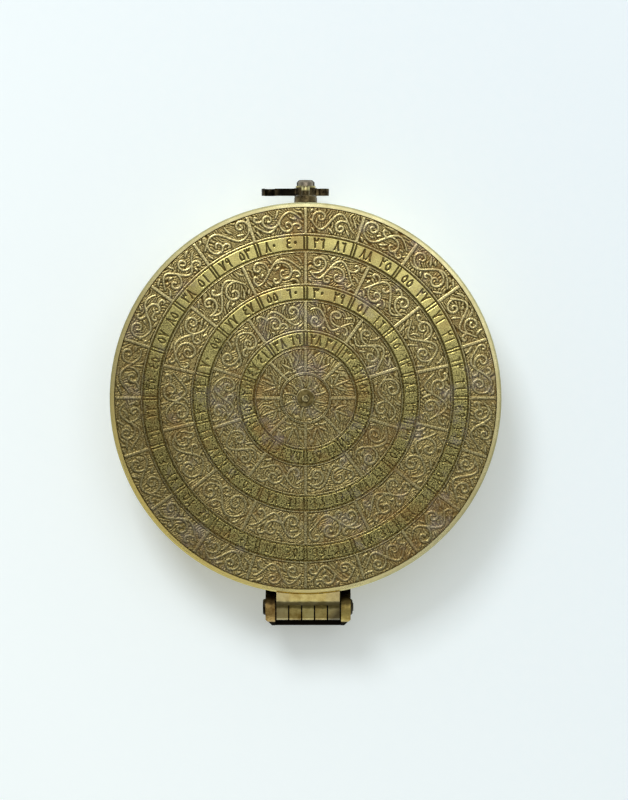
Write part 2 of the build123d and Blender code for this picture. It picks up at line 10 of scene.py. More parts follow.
import bpy
import numpy as np
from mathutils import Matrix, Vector


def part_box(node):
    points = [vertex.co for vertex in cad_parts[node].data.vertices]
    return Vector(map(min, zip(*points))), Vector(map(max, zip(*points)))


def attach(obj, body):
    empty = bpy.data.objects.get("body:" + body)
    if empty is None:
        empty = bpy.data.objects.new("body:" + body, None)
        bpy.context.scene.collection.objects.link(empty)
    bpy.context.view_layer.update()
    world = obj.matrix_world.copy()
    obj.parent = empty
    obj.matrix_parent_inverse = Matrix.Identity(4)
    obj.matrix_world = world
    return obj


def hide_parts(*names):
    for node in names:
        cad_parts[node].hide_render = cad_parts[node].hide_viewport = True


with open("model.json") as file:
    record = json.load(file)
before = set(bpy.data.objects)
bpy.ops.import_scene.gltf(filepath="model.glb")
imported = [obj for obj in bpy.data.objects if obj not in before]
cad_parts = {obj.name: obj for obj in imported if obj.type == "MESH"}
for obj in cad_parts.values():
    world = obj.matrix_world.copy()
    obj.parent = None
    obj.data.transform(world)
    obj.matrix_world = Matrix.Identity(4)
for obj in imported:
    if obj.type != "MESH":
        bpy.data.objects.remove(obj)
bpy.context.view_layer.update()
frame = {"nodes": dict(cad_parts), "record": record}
nodes = frame["nodes"]
scene = bpy.context.scene
MM = 0.001

# %% [markdown]
# ## Three small tools
# Colours are picked as sRGB hex values, but shaders work in linear light, so one function turns
# them. Node trees are long when written out, so one function adds a node with its settings, its
# values and its links. An input that another node feeds is given that node, and then its first
# output in use is linked, or one of its output sockets. The third function starts a material. The
# four kinds of node that come most often have short names.

# %% Colour, node and material tools
MATH, RANGE = "ShaderNodeMath", "ShaderNodeMapRange"
MIX, NOISE = "ShaderNodeMix", "ShaderNodeTexNoise"


def linear(hex_colour):
    """Linear RGBA of an sRGB hex colour such as #c8b060."""
    srgb = [int(hex_colour[i:i + 2], 16) / 255 for i in (1, 3, 5)]
    return [c / 12.92 if c <= 0.04045 else ((c + 0.055) / 1.055) ** 2.4 for c in srgb] + [1.0]


def add(tree, kind, inputs=(), **settings):
    """Add one node: settings are its properties, inputs its sockets in order or by name."""
    node = tree.nodes.new(kind)
    for name, value in settings.items():
        setattr(node, name, value)
    for key, value in inputs.items() if isinstance(inputs, dict) else enumerate(inputs):
        if isinstance(value, bpy.types.Node):
            value = next(socket for socket in value.outputs if socket.enabled)
        if isinstance(value, bpy.types.NodeSocket):
            tree.links.new(value, node.inputs[key])
        else:
            node.inputs[key].default_value = value
    return node


def new_material(name):
    """An empty node material, with its tree."""
    material = bpy.data.materials.new(name)
    material.use_nodes = True
    material.node_tree.nodes.clear()
    return material, material.node_tree


print("brass as linear light:", [round(c, 3) for c in linear("#c8b060")[:3]])

# %% [markdown]
# ## Camera
# The photograph looks straight down on the closed box from well above it. A camera without
# perspective would be simpler, but hinge and clasp stand lower than the lid and would come out too
# large. So the camera stands at that distance, and its lens is worked out from the height of the
# picture at the lid's face. The image is 628 by 800 pixels, so the tall side sets the field.

# %% Camera
lid_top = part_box("lid_band")[1].z
camera_height = 900 * MM
picture_height = 159.2 * MM
camera_x, camera_y = 1.68 * MM, -0.36 * MM
sensor_height = 36.0

camera_data = bpy.data.cameras.new("camera_above")
camera_data.sensor_fit = "VERTICAL"
camera_data.sensor_height = sensor_height
camera_data.lens = sensor_height * camera_height / picture_height
camera_data.clip_start = 0.01
camera = bpy.data.objects.new("camera_above", camera_data)
camera.location = (camera_x, camera_y, lid_top + camera_height)
scene.collection.objects.link(camera)
scene.camera = camera
scene.view_settings.view_transform = "Standard"
print("lens", round(camera_data.lens, 1), "mm")

# %% [markdown]
# ## Floor and light
# The box lies on pale bluish paper, a wide plane. What the camera, the metal and the glass see of
# it is lifted a little by Light Path, while its matt part keeps the box's shadow. Flat metal seen
# from above mirrors only the sky near the camera, so lamps all round would light it evenly and
# show none of its shape. Two lamps are enough. A large ceiling panel starts just beside the
# camera's line, on the clasp's side: smooth brass that mirrors it is bright, and brass that
# mirrors the open room is olive. A smaller window behind the clasp, a little to the left, throws
# the soft shadow to the hinge's side.

# %% Floor
floor_half = 3.0
floor_drop = 0.02 * MM
floor_mesh = bpy.data.meshes.new("paper_floor")
corners = [(x * floor_half, y * floor_half, 0) for x, y in ((-1, -1), (1, -1), (1, 1), (-1, 1))]
floor_mesh.from_pydata(corners, [], [(0, 1, 2, 3)])
floor = bpy.data.objects.new("paper_floor", floor_mesh)
floor.location.z = -floor_drop
scene.collection.objects.link(floor)
print("paper floor", 2 * floor_half, "m wide")

# %% Matt paper
# Drawing paper gives the eye no gloss, only a pale blue and a faint tooth, with a painted falloff of
# light that greys it towards the upper right. Real tooth is about a tenth of a millimetre; it is drawn
# at 2 mm so that it shows.
tooth_size, tooth_strength = 2 * MM, 0.3
# Painted falloff of light: the paper is drawn greyer towards the upper right.
falloff_way, falloff_reach = (0.85, 0.5, 0.0), 80 * MM
paper_lift = 0.28
paper, tree = new_material("matt_paper")
place = add(tree, "ShaderNodeTexCoord").outputs["Object"]
tooth = add(tree, NOISE, {"Vector": place, "Scale": 1 / tooth_size, "Detail": 3.0})
across = add(tree, "ShaderNodeVectorMath", [place, falloff_way], operation="DOT_PRODUCT")
painted_falloff = add(tree, RANGE, {"Value": across, "From Min": -falloff_reach, "From Max": falloff_reach})
fibres = add(tree, MATH, [tooth, tooth_strength, -tooth_strength / 2], operation="MULTIPLY_ADD")
tooth_and_falloff = add(tree, MATH, [painted_falloff, fibres], operation="ADD")
tint = add(tree, MIX, {"Factor": tooth_and_falloff, "A": linear("#e3eef3"), "B": linear("#d5e2ec")},
           data_type="RGBA")
matt = add(tree, "ShaderNodeBsdfDiffuse", {"Color": tint})
rays = add(tree, "ShaderNodeLightPath").outputs
seen = add(tree, MATH, [rays["Is Camera Ray"], rays["Is Glossy Ray"]], operation="MAXIMUM")
seen = add(tree, MATH, [seen, rays["Is Transmission Ray"]], operation="MAXIMUM")
lift = add(tree, MATH, [seen, paper_lift], operation="MULTIPLY")
glow = add(tree, "ShaderNodeEmission", {"Color": linear("#fffceb"), "Strength": lift})
both = add(tree, "ShaderNodeAddShader", [matt, glow])
add(tree, "ShaderNodeOutputMaterial", {"Surface": both})
floor_mesh.materials.append(paper)
print("paper:", len(tree.nodes), "nodes")

# %% Ceiling panel and window
mirror_x, mirror_y = 0.32, 0.95
ceiling_size, ceiling_height, ceiling_edge, ceiling_power = 1.6, 1.9, 0.040, 12.5
ceiling_reach = ceiling_edge + ceiling_size / 2
window_azimuth, window_elevation = radians(115), radians(52)
window_size, window_away, window_power = 0.55, 1.76, 13.0
window_place = Vector((cos(window_azimuth) * cos(window_elevation),
                       sin(window_azimuth) * cos(window_elevation),
                       sin(window_elevation))) * window_away
lamps = {
    "ceiling_panel": ((ceiling_reach * mirror_x, ceiling_reach * mirror_y, ceiling_height),
                      (0, 0, atan2(mirror_y, mirror_x)), ceiling_size, ceiling_power),
    "window_behind": (window_place, window_place.to_track_quat("Z", "Y").to_euler(), window_size,
                      window_power),
}
for name, (place, tilt, size, power) in lamps.items():
    light = bpy.data.lights.new(name, "AREA")
    light.size = size
    light.energy = power
    lamp = bpy.data.objects.new(name, light)
    lamp.location = place
    lamp.rotation_euler = tilt
    scene.collection.objects.link(lamp)
print("lamps:", sorted(lamps))

# %% Pale room
wall_light, sky_light = 0.55, 0.25
world = bpy.data.worlds.new("studio_room")
scene.world = world
world.use_nodes = True
tree = world.node_tree
tree.nodes.clear()
look = add(tree, "ShaderNodeTexCoord").outputs["Generated"]
height = add(tree, "ShaderNodeSeparateXYZ", [look]).outputs["Z"]
walls = add(tree, RANGE, {"Value": height, "From Min": 0.15, "From Max": 0.75, "To Min": wall_light,
                          "To Max": sky_light}, interpolation_type="SMOOTHSTEP")
sky = add(tree, "ShaderNodeBackground", {"Color": linear("#eef4f6"), "Strength": walls})
add(tree, "ShaderNodeOutputWorld", {"Surface": sky})
print("room:", world.name)

# %% [markdown]
# ## Rings of the lid
# The lid is divided into four rings of cells with three narrow number rings between them, round a
# small disc with the rivet. The radii could be typed one by one, but then no ring could be widened
# alone. So the widths are listed from the border inwards, and the radii follow from the plate's
# own edge.

# %% Ring layout
plate_low, plate_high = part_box("lid_plate")
plate_radius = plate_high.x
field_overrun = 0.05 * MM   # so that no circle is cut along the plate's edge
ring_fillet = 0.4 * MM
separator_width = 0.5 * MM
centre_boss = 1.8 * MM
centre_leaves = 12
# Each row: cells, width of the foliage ring, width of the number ring inside it.
ring_table = ((20, 5.35 * MM, 2.9 * MM), (14, 6.3 * MM, 2.75 * MM), (10, 5.65 * MM, 2.85 * MM),
              (8, 4.8 * MM, 0.0))

foliage_rings, number_rings = [], []
edge = plate_radius + field_overrun
for cells, foliage_width, number_width in ring_table:
    foliage_rings.append((cells, edge - foliage_width, edge))
    edge -= foliage_width + ring_fillet
    if number_width:
        number_rings.append((cells, edge - number_width, edge))
        edge -= number_width + ring_fillet
foliage_rings.append((centre_leaves, centre_boss, edge))
for cells, inner, outer in foliage_rings:
    print(cells, "cells from", round(inner / MM, 2), "to", round(outer / MM, 2), "mm")

# %% [markdown]
# ## Vine scrolls for the cells
# Each cell of the wide rings holds chased ornament. It could be drawn by hand, but a rule fills
# every cell to its corners. A long stem sweeps through the cell, and then the cell is filled as an
# engraver fills it: the widest bare spot is found, and a curl grows into it out of the nearest
# stroke. Narrow spots get a leaf. Cells that are nearly square get a palmette instead, a fan of
# leaves, and the disc in the middle a wreath of leaves. Every stroke is a line with a half width
# along it, so one rule draws them all, and a seeded generator varies the cells.

# %% Curl and leaf


def curl(centre, root, room, turns, hand, half):
    """A tendril that leaves its root, winds inwards round a centre and ends in a bud."""
    t = np.linspace(0, 1, 32)
    away = np.subtract(root, centre)
    angle = np.arctan2(away[1], away[0]) + hand * turns * 2 * pi * t
    reach = room * (1 - 0.78 * t) + (np.hypot(*away) - room) * (1 - t) ** 5
    line = np.stack([centre[0] + reach * np.cos(angle), centre[1] + reach * np.sin(angle)], 1)
    return line, half * (0.55 + 0.55 * np.sin(pi * t**0.7) + 0.7 * np.clip((t - 0.85) / 0.15, 0, 1))


def leaf(middle, heading, length, bend, half):
    """A pointed leaf that bends to one side as it grows."""
    t = np.linspace(0, 1, 12)
    turn = heading + bend * (t - 0.5)
    path = np.cumsum(np.stack([np.cos(turn), np.sin(turn)], 1) * length / (len(t) - 1), 0)
    return middle + path - path[len(t) // 2], half * (0.2 + 0.8 * np.sin(pi * t**0.75))


print("a straight leaf has", len(leaf(np.zeros(2), 0.0, 1 * MM, 0.0, 0.1 * MM)[0]), "points")

# %% A cell of vines
most_strokes = 60
spots_tried = 160
curl_room, wide_room, leaf_room = 2.6, 5.0, 0.8   # in half widths of a stroke


def vine_cell(width, height, half, gap, rng):
    """All strokes of one cell, across its width and up its height, from its middle."""
    t = np.linspace(-1, 1, 48)
    flip = rng.choice([-1, 1])
    waves = rng.uniform(0.75, 1.15) * max(1.0, width / (1.9 * height))
    lean = rng.uniform(-0.3, 0.3)
    sweep = flip * 0.38 * height * (np.sin(pi * waves * t + lean * pi) * (1 - 0.25 * t**2))
    taken = np.stack([0.46 * width * t, sweep], 1)
    strokes = [(taken, half * (0.6 + 0.4 * np.cos(pi * t / 2)))]
    while len(strokes) <= most_strokes:
        spots = rng.uniform((-width / 2, -height / 2), (width / 2, height / 2), (spots_tried, 2))
        apart = np.linalg.norm(spots[:, None] - taken[None], axis=2)
        wall = np.minimum(width / 2 - abs(spots[:, 0]), height / 2 - abs(spots[:, 1]))
        room = np.minimum(apart.min(1) - half, wall + gap / 2)
        best = room.argmax()
        spot, space = spots[best], room[best] - gap
        root = taken[apart[best].argmin()]
        if space < leaf_room * half:
            break
        heading = np.arctan2(*(spot - root)[::-1])
        if space > curl_room * half:
            turns = rng.uniform(0.75, 1.0) if space < wide_room * half else rng.uniform(1.1, 1.5)
            strokes.append(curl(spot, root, space, turns, rng.choice([-1, 1]), half))
        else:
            side = heading + pi / 2 + rng.uniform(-0.4, 0.4)
            strokes.append(leaf(spot, side, 4.5 * space, rng.uniform(-1.2, 1.2), 1.1 * half))
        taken = np.concatenate([taken, strokes[-1][0]])
    return strokes


print("a vine cell has at most", most_strokes + 1, "strokes")

# %% A cell with a palmette
palmette_bends = {-2: 0.7, -1: -0.7, 0: 0.0, 1: 0.7, 2: -0.7}
bud_length = 1.0 * MM


def palmette_cell(height, half, rng):
    """A fan of five leaves that bend outwards round a small bud."""
    root = np.array([0.0, -0.42 * height])
    strokes = [leaf(root, 0.0, bud_length, 0.0, half)]
    for step, bend in palmette_bends.items():
        heading = pi / 2 - step * radians(rng.uniform(34, 38))
        start, stop = 0.20 * height, (0.88 - 0.13 * abs(step)) * height
        centre = root + 0.5 * (start + stop) * np.array([cos(heading), sin(heading)])
        strokes.append(leaf(centre, heading, stop - start, bend, half))
    return strokes


print("a palmette has", len(palmette_bends), "leaves")

# %% Round the centre, and into Blender


def wrap(strokes, middle_radius, angle):
    """Bend strokes drawn in a cell round the lid's centre; the cell's top points outwards."""
    bent = []
    for line, half in strokes:
        radius = middle_radius + line[:, 1]
        turn = angle - line[:, 0] / middle_radius
        bent.append((np.stack([radius * np.cos(turn), radius * np.sin(turn), 0 * turn], 1), half))
    return bent


def spoke(inner, outer, angle, half):
    """A straight stroke away from the centre."""
    return np.outer([inner, outer], [cos(angle), sin(angle), 0.0]), half


def stroke_curve(name, strokes):
    """A curve object with one poly spline for each stroke, its half width kept as the radius."""
    curve = bpy.data.curves.new(name, "CURVE")
    curve.dimensions = "3D"
    curve.twist_mode = "Z_UP"
    for line, half in strokes:
        spline = curve.splines.new("POLY")
        spline.points.add(len(line) - 1)
        spline.points.foreach_set("co", np.column_stack([line, np.ones(len(line))]).ravel())
        spline.points.foreach_set("radius", np.broadcast_to(half, len(line)).astype(float))
    strokes_object = bpy.data.objects.new(name, curve)
    scene.collection.objects.link(strokes_object)
    return strokes_object


print("a spoke has", len(spoke(0.0, 1.0, 0.0, 0.0)[0]), "points")

# %% Strokes of the foliage rings
stroke_half = 0.18 * MM
stroke_gap = 0.54 * MM
cell_margin = 0.5 * MM
square_cell = 1.5
rng = np.random.default_rng(7)
foliage_strokes = []
for cells, inner, outer in foliage_rings:
    middle = (inner + outer) / 2
    width = 2 * pi * middle / cells - separator_width - cell_margin
    height = outer - inner - cell_margin
    strokes = []
    for cell in range(cells):
        if inner == centre_boss:
            cell_strokes = [leaf(np.zeros(2), pi / 2, height, 0.7, stroke_half)]
        elif width < square_cell * height:
            cell_strokes = palmette_cell(height, stroke_half, rng)
        else:
            cell_strokes = vine_cell(width, height, stroke_half, stroke_gap, rng)
        strokes += wrap(cell_strokes, middle, pi / 2 - 2 * pi * (cell + 0.5) / cells)
        if inner > centre_boss:
            strokes.append(spoke(inner, outer, pi / 2 - 2 * pi * cell / cells, separator_width / 2))
    foliage_strokes.append(stroke_curve(f"foliage_strokes_{cells}", strokes))
    print(cells, "cells,", len(strokes), "strokes")

# %% [markdown]
# ## Numbers for the narrow rings
# The narrow rings carry plain numbers, two to a cell, in the eastern form of the digits that such
# instruments use. A typeface could set them, but its outlines are wide and even. Here each digit
# is a few points in a unit box, rounded by a spline, which is thin and looks drawn by a graver.

# %% Digits
DIGITS = (
    ((0.42, 0.55), (0.5, 0.42), (0.58, 0.55), (0.5, 0.62), (0.42, 0.55)),
    ((0.45, 1.0), (0.5, 0.6), (0.52, 0.0)),
    ((0.9, 1.0), (0.72, 0.72), (0.36, 0.74), (0.2, 1.0), (0.34, 0.55), (0.38, 0.0)),
    ((0.95, 1.0), (0.82, 0.76), (0.62, 0.82), (0.56, 0.98), (0.48, 0.78), (0.28, 0.76), (0.12, 1.0),
     (0.26, 0.55), (0.3, 0.0)),
    ((0.8, 1.0), (0.35, 0.86), (0.36, 0.62), (0.72, 0.56), (0.3, 0.44), (0.24, 0.12), (0.82, 0.0)),
    ((0.5, 0.9), (0.2, 0.5), (0.25, 0.15), (0.5, 0.1), (0.75, 0.15), (0.8, 0.5), (0.5, 0.9)),
    ((0.2, 0.92), (0.45, 0.86), (0.68, 0.94), (0.64, 0.5), (0.7, 0.0)),
    ((0.1, 1.0), (0.36, 0.6), (0.5, 0.0), (0.64, 0.6), (0.9, 1.0)),
    ((0.1, 0.0), (0.36, 0.4), (0.5, 1.0), (0.64, 0.4), (0.9, 0.0)),
    ((0.68, 0.74), (0.42, 0.58), (0.24, 0.78), (0.46, 1.0), (0.68, 0.84), (0.66, 0.4), (0.72, 0.0)),
)
digit_width, digit_advance = 0.62, 0.72   # parts of the height
spline_steps = 6


def rounded(points):
    """A smooth line that passes through each of a few points."""
    p = np.array([points[0], *points, points[-1]], float)
    t = np.linspace(0, 1, spline_steps, endpoint=False)[:, None]
    runs = [0.5 * (2 * b + (c - a) * t + (2 * a - 5 * b + 4 * c - d) * t**2
                   + (3 * b - a - 3 * c + d) * t**3) for a, b, c, d in zip(p, p[1:], p[2:], p[3:])]
    return np.concatenate(runs + [p[-1:]])


def number_strokes(text, height, half):
    """Strokes of a number, centred on its own middle."""
    strokes = []
    for place, digit in enumerate(text):
        shift = (place - (len(text) - 1) / 2) * (digit_advance * height) - 0.5 * digit_width * height
        size = (digit_width * height, height)
        strokes.append((rounded(DIGITS[int(digit)]) * size + (shift, -0.5 * height), half))
    return strokes


print(len(DIGITS), "digits")

# %% Strokes of the number rings
number_half, rule_half = 0.005 * MM, 0.01 * MM
rule_apart = 0.6 * MM
number_height = 0.64   # of the ring's width
number_places = (0.28, 0.72)   # of the cell
number_lines = []
for cells, inner, outer in number_rings:
    middle = (inner + outer) / 2
    strokes = []
    for cell in range(cells):
        for part in number_places:
            text = str(rng.integers(10, 90))
            drawn = number_strokes(text, number_height * (outer - inner), number_half)
            strokes += wrap(drawn, middle, pi / 2 - 2 * pi * (cell + part) / cells)
        side = pi / 2 - 2 * pi * cell / cells
        for shift in (-rule_apart / 2, rule_apart / 2):
            strokes.append(spoke(inner, outer, side + shift / middle, rule_half))
    number_lines.append(stroke_curve(f"number_lines_{cells}", strokes))
    print(cells, "cells,", len(strokes), "number strokes")

# %% [markdown]
# ## Aged brass
# Old brass is never one colour. Where fingers rub it, it is pale yellow; in the cuts a dark grime
# stays; between lies an olive film. Painting that by hand would serve one piece only, so it is
# made by rule. The engraving below stores a number called tone on every point, 1 on the worn top
# and 0 in the cuts, and the material turns it into colour and roughness. The lid is rubbed and
# painted lighter towards the clasp, a painted highlight. Away from the clasp and at the left it is
# painted darker, painted shade over its film and tarnish, with brown and grey stains. Away from the
# clasp its cuts are also painted less dark. A grain of fine pits covers it wherever rubbing hasn't
# polished it away. A patina can be laid over any brass along one direction: its ramp has stops at
# real places on the piece, and its edge is ragged.

# %% Patina along a direction
rag_size, rag_reach = 0.8 * MM, 0.6 * MM


def patina_along(tree, colour, way, patina, stops):
    """Lay a patina over a colour: stops are places along the way, with its strength there."""
    place = add(tree, "ShaderNodeTexCoord").outputs["Object"]
    rags = add(tree, NOISE, {"Vector": place, "Scale": 1 / rag_size, "Detail": 4.0})
    along = add(tree, "ShaderNodeVectorMath", [place, way], operation="DOT_PRODUCT")
    ragged = add(tree, MATH, [rags, rag_reach, along], operation="MULTIPLY_ADD")
    first, last = stops[0][0], stops[-1][0]
    part = add(tree, RANGE, {"Value": ragged, "From Min": first + rag_reach / 2,
                             "From Max": last + rag_reach / 2})
    ramp = add(tree, "ShaderNodeValToRGB", {"Fac": part})
    marks = ramp.color_ramp.elements
    for spot, strength in stops[1:-1]:
        marks.new((spot - first) / (last - first))
    for mark, (spot, strength) in zip(marks, stops):
        mark.color = (strength, strength, strength, 1.0)
    return add(tree, MIX, {"Factor": ramp, "A": colour, "B": linear(patina)}, data_type="RGBA")


print("patina edges wander by", round(rag_reach / MM, 2), "mm")

# %% Where the lid is rubbed and painted lighter
lid_cloud, lid_cloud_reach = 9 * MM, 46 * MM
# Rubbing and painted highlight: the lid is drawn lighter towards the clasp, darker away from it.
sheen_and_rub_way, sheen_and_rub_start, sheen_and_rub_full = (0.07, 0.998, 0.0), 19 * MM, 47 * MM


def rubbing(tree, place):
    """Clouds of tarnish, and how far the lid is rubbed, and painted lighter as a highlight, in front of
    them.
    """
    clouds = add(tree, NOISE, {"Vector": place, "Scale": 1 / lid_cloud, "Detail": 5.0,
                               "Roughness": 0.65})
    towards = add(tree, "ShaderNodeVectorMath", [place, sheen_and_rub_way], operation="DOT_PRODUCT")
    ragged = add(tree, MATH, [clouds, lid_cloud_reach, towards], operation="MULTIPLY_ADD")
    sheen_and_rubbing = add(tree, RANGE, {"Value": ragged, "From Min": sheen_and_rub_start, "From Max": sheen_and_rub_full},
                 interpolation_type="SMOOTHSTEP")
    return clouds, sheen_and_rubbing


print("rubbed over", round((sheen_and_rub_full - sheen_and_rub_start) / MM), "mm")

# %% Painted light and shade of the worn top, and its grain
# Real pits are a few hundredths of a millimetre; they are drawn at 0.26 mm so that they show.
pit_size = 0.26 * MM
# Factor of the painted light where the lid is rubbed and lit.
sheen_and_rub_factor = 0.85


def worn_shade(tree, place, tone, sheen_and_rubbing, shade_and_film_factor, speckle, polish):
    """A factor for the colour: tops are painted lighter where rubbed and darker, as painted shade, away
    from it, and pits roughen what isn't polished.
    """
    painted_light_factor = add(tree, RANGE, {"Value": sheen_and_rubbing, "To Min": shade_and_film_factor, "To Max": sheen_and_rub_factor})
    kept = add(tree, MIX, {"Factor": tone, "A": 1.0, "B": painted_light_factor}, data_type="FLOAT")
    pits = add(tree, NOISE, {"Vector": place, "Scale": 1 / pit_size, "Detail": 2.0})
    grain = add(tree, RANGE, {"Value": pits, "From Min": 0.37, "From Max": 0.63, "To Min": -1.0,
                              "To Max": 1.0})
    coarse = add(tree, RANGE, {"Value": sheen_and_rubbing, "To Min": speckle, "To Max": speckle * (1 - polish)})
    grain = add(tree, MATH, [grain, coarse, 1.0], operation="MULTIPLY_ADD")
    return add(tree, MATH, [kept, grain], operation="MULTIPLY")


print("pits drawn at", round(pit_size / MM, 2), "mm")

# %% Engraved brass
# Painted shade: away from the clasp the cuts are drawn less dark, as dim light flattens the engraving.
shaded_cut_lift = 0.17
dull_rough, cloud_rough = 0.40, 0.10
stain_size = 7 * MM
# Each stain: its colour, seed, the noise where it starts and where it is full, its strength.
stains = (("#7d5a30", 1.5, 0.50, 0.66, 0.45), ("#8d8688", 8.2, 0.53, 0.68, 0.45))
# Tarnish and painted shade: the lid is drawn darker towards the left.
tarnish_and_shade_side = ((-0.966, -0.259, 0.0), "#4a3d1c",
                [(14 * MM, 0.0), (24 * MM, 0.12), (30 * MM, 0.34), (38 * MM, 0.32)])


def engraved_brass(name, cut, ground, worn, rough_cut, rough_worn, shade_and_film_factor, speckle, polish):
    """Brass whose colour and gloss follow the engraving's tone, under clouds of tarnish."""
    material, tree = new_material(name)
    place = add(tree, "ShaderNodeTexCoord").outputs["Object"]
    tone = add(tree, "ShaderNodeAttribute", attribute_name="tone").outputs["Fac"]
    clouds, sheen_and_rubbing = rubbing(tree, place)
    shaded_lift = add(tree, RANGE, {"Value": sheen_and_rubbing, "To Min": shaded_cut_lift, "To Max": 0.0})
    filled = add(tree, RANGE, {"Value": tone, "To Min": shaded_lift}, clamp=False)
    ramp = add(tree, "ShaderNodeValToRGB", {"Fac": filled})
    ramp.color_ramp.elements[0].color = linear(cut)
    ramp.color_ramp.elements[1].color = linear(worn)
    ramp.color_ramp.elements.new(0.45).color = linear(ground)
    shade = worn_shade(tree, place, tone, sheen_and_rubbing, shade_and_film_factor, speckle, polish)
    colour = add(tree, MIX, {"Factor": 1.0, "A": ramp, "B": shade}, data_type="RGBA",
                 blend_type="MULTIPLY")
    for stain, seed, low, high, strength in stains:
        spread = add(tree, NOISE, {"Vector": place, "W": seed, "Scale": 1 / stain_size, "Detail": 6.0,
                                   "Roughness": 0.7}, noise_dimensions="4D")
        mask = add(tree, RANGE, {"Value": spread, "From Min": low, "From Max": high,
                                 "To Max": strength})
        colour = add(tree, MIX, {"Factor": mask, "A": colour, "B": linear(stain)}, data_type="RGBA")
    colour = patina_along(tree, colour, *tarnish_and_shade_side)
    top_rough = add(tree, RANGE, {"Value": sheen_and_rubbing, "To Min": dull_rough, "To Max": rough_worn})
    gloss = add(tree, RANGE, {"Value": tone, "To Min": rough_cut, "To Max": top_rough})
    dulled = add(tree, RANGE, {"Value": clouds, "From Min": 0.4, "From Max": 0.65,
                               "To Max": cloud_rough})
    rough = add(tree, MATH, [gloss, dulled], operation="ADD")
    shader = add(tree, "ShaderNodeBsdfPrincipled", {"Base Color": colour, "Metallic": 1.0,
                                                    "Roughness": rough})
    add(tree, "ShaderNodeOutputMaterial", {"Surface": shader})
    return material


# Brass chased with a graver: pale worn ridges over dark cuts, and a ground that glitters unevenly.
chased_brass = engraved_brass(
    "chased_brass", cut="#382a08", ground="#978754", worn="#cabd86", rough_cut=0.52, rough_worn=0.27,
    shade_and_film_factor=0.44, speckle=0.66, polish=0.2)
# Brass burnished flat before it is cut: a mirror where it is rubbed; elsewhere dark, as painted shade
# over its film, and pitted.
burnished_brass = engraved_brass(
    "burnished_brass", cut="#3f3008", ground="#857846", worn="#bdb26f", rough_cut=0.50, rough_worn=0.10,
    shade_and_film_factor=0.41, speckle=0.97, polish=0.8)
print("lid:", chased_brass.name, "and", burnished_brass.name)

# %% [markdown]
# ## Plain metal
# The other pieces have no engraving, so a simpler metal does for them, and each finish is one call
# with its own colours. Clouds of tarnish break up the evenness, and a fine grain catches the light.
# Pieces made on a lathe show its lines. They could be painted as rings, but a pattern that is read
# at radius and height alone is the same all round, on flats and walls alike, as real ones are.

# %% Turning lines
# Real turning lines are finer than a picture point; these are drawn at 0.5 mm so that they show.
turning_pitch = 0.5 * MM
relief_depth = 0.02 * MM


def turned(tree, place, colour, bump, pitch):
    """Lay the lines of a lathe over a colour and a bump."""
    parts = add(tree, "ShaderNodeSeparateXYZ", [place]).outputs
    flat = add(tree, "ShaderNodeCombineXYZ", {"X": parts["X"], "Y": parts["Y"]})
    radius = add(tree, "ShaderNodeVectorMath", [flat], operation="LENGTH")
    section = add(tree, "ShaderNodeCombineXYZ", {"X": radius, "Y": parts["Z"]})
    lines = add(tree, NOISE, {"Vector": section, "Scale": 1 / pitch, "Detail": 3.0, "Roughness": 0.7},
                noise_dimensions="2D")
    wear = add(tree, RANGE, {"Value": lines, "From Min": 0.3, "From Max": 0.7, "To Min": 0.88,
                             "To Max": 1.06})
    colour = add(tree, MIX, {"Factor": 1.0, "A": colour, "B": wear}, data_type="RGBA",
                 blend_type="MULTIPLY")
    bump = add(tree, "ShaderNodeBump", {"Height": lines, "Strength": 0.3, "Distance": relief_depth,
                                        "Normal": bump})
    return colour, bump


print("turning lines every", round(turning_pitch / MM, 2), "mm")

# %% Metal with clouds of tarnish
# Real grain is finer too, and is drawn at 0.35 mm so that it shows.
grain_size = 0.35 * MM
film_rough = 0.25


def plain_metal(name, bright, dull, rough, cloud_size, dulling, patinas=(), turning=0.0):
    """Metal with clouds of tarnish, a fine grain, any patinas along a direction and turning lines."""
    material, tree = new_material(name)
    place = add(tree, "ShaderNodeTexCoord").outputs["Object"]
    clouds = add(tree, NOISE, {"Vector": place, "Scale": 1 / cloud_size, "Detail": 5.0,
                               "Roughness": 0.65})
    film = add(tree, RANGE, {"Value": clouds, "From Min": 0.35, "From Max": 0.65, "To Max": dulling})
    colour = add(tree, MIX, {"Factor": film, "A": linear(bright), "B": linear(dull)}, data_type="RGBA")
    for way, patina, stops in patinas:
        colour = patina_along(tree, colour, way, patina, stops)
    rougher = add(tree, MATH, [film, film_rough, rough], operation="MULTIPLY_ADD")
    grain = add(tree, NOISE, {"Vector": place, "Scale": 1 / grain_size, "Detail": 3.0})
    bump = add(tree, "ShaderNodeBump", {"Height": grain, "Strength": 0.25, "Distance": relief_depth})
    if turning:
        colour, bump = turned(tree, place, colour, bump, turning)
    shader = add(tree, "ShaderNodeBsdfPrincipled", {"Base Color": colour, "Metallic": 1.0,
                                                    "Roughness": rougher, "Normal": bump})
    add(tree, "ShaderNodeOutputMaterial", {"Surface": shader})
    return material


# Brass turned on a lathe and seldom touched: an even, soft yellow with faint rings of light.
inside_brass = plain_metal("turned_inside_brass", "#b8aa72", "#8a7c4c", 0.38, 5 * MM, 0.6,
                           turning=turning_pitch)
print("inside of the lid:", inside_brass.name)

# %% [markdown]
# ## Chased rings
# The relief could be sculpted or faked with bump, but real cuts cast their own shade. Geometry
# Nodes lay a fine grid round the ring, measure each point's distance to the nearest stroke with
# Geometry Proximity, and turn that distance into height: the stroke stays level with the plate, a
# dark outline is cut round it, and beyond that the ground lies lower and is hatched, in a direction
# of its own for every cell. In the number rings the strokes are the cuts. The circles between the
# rings stay dark, and a dirty seam is left where the plate meets the band. The first group gives
# the grid's rows their place: one row under each edge closes the ring to a solid.

# %% Group: rows of a ring


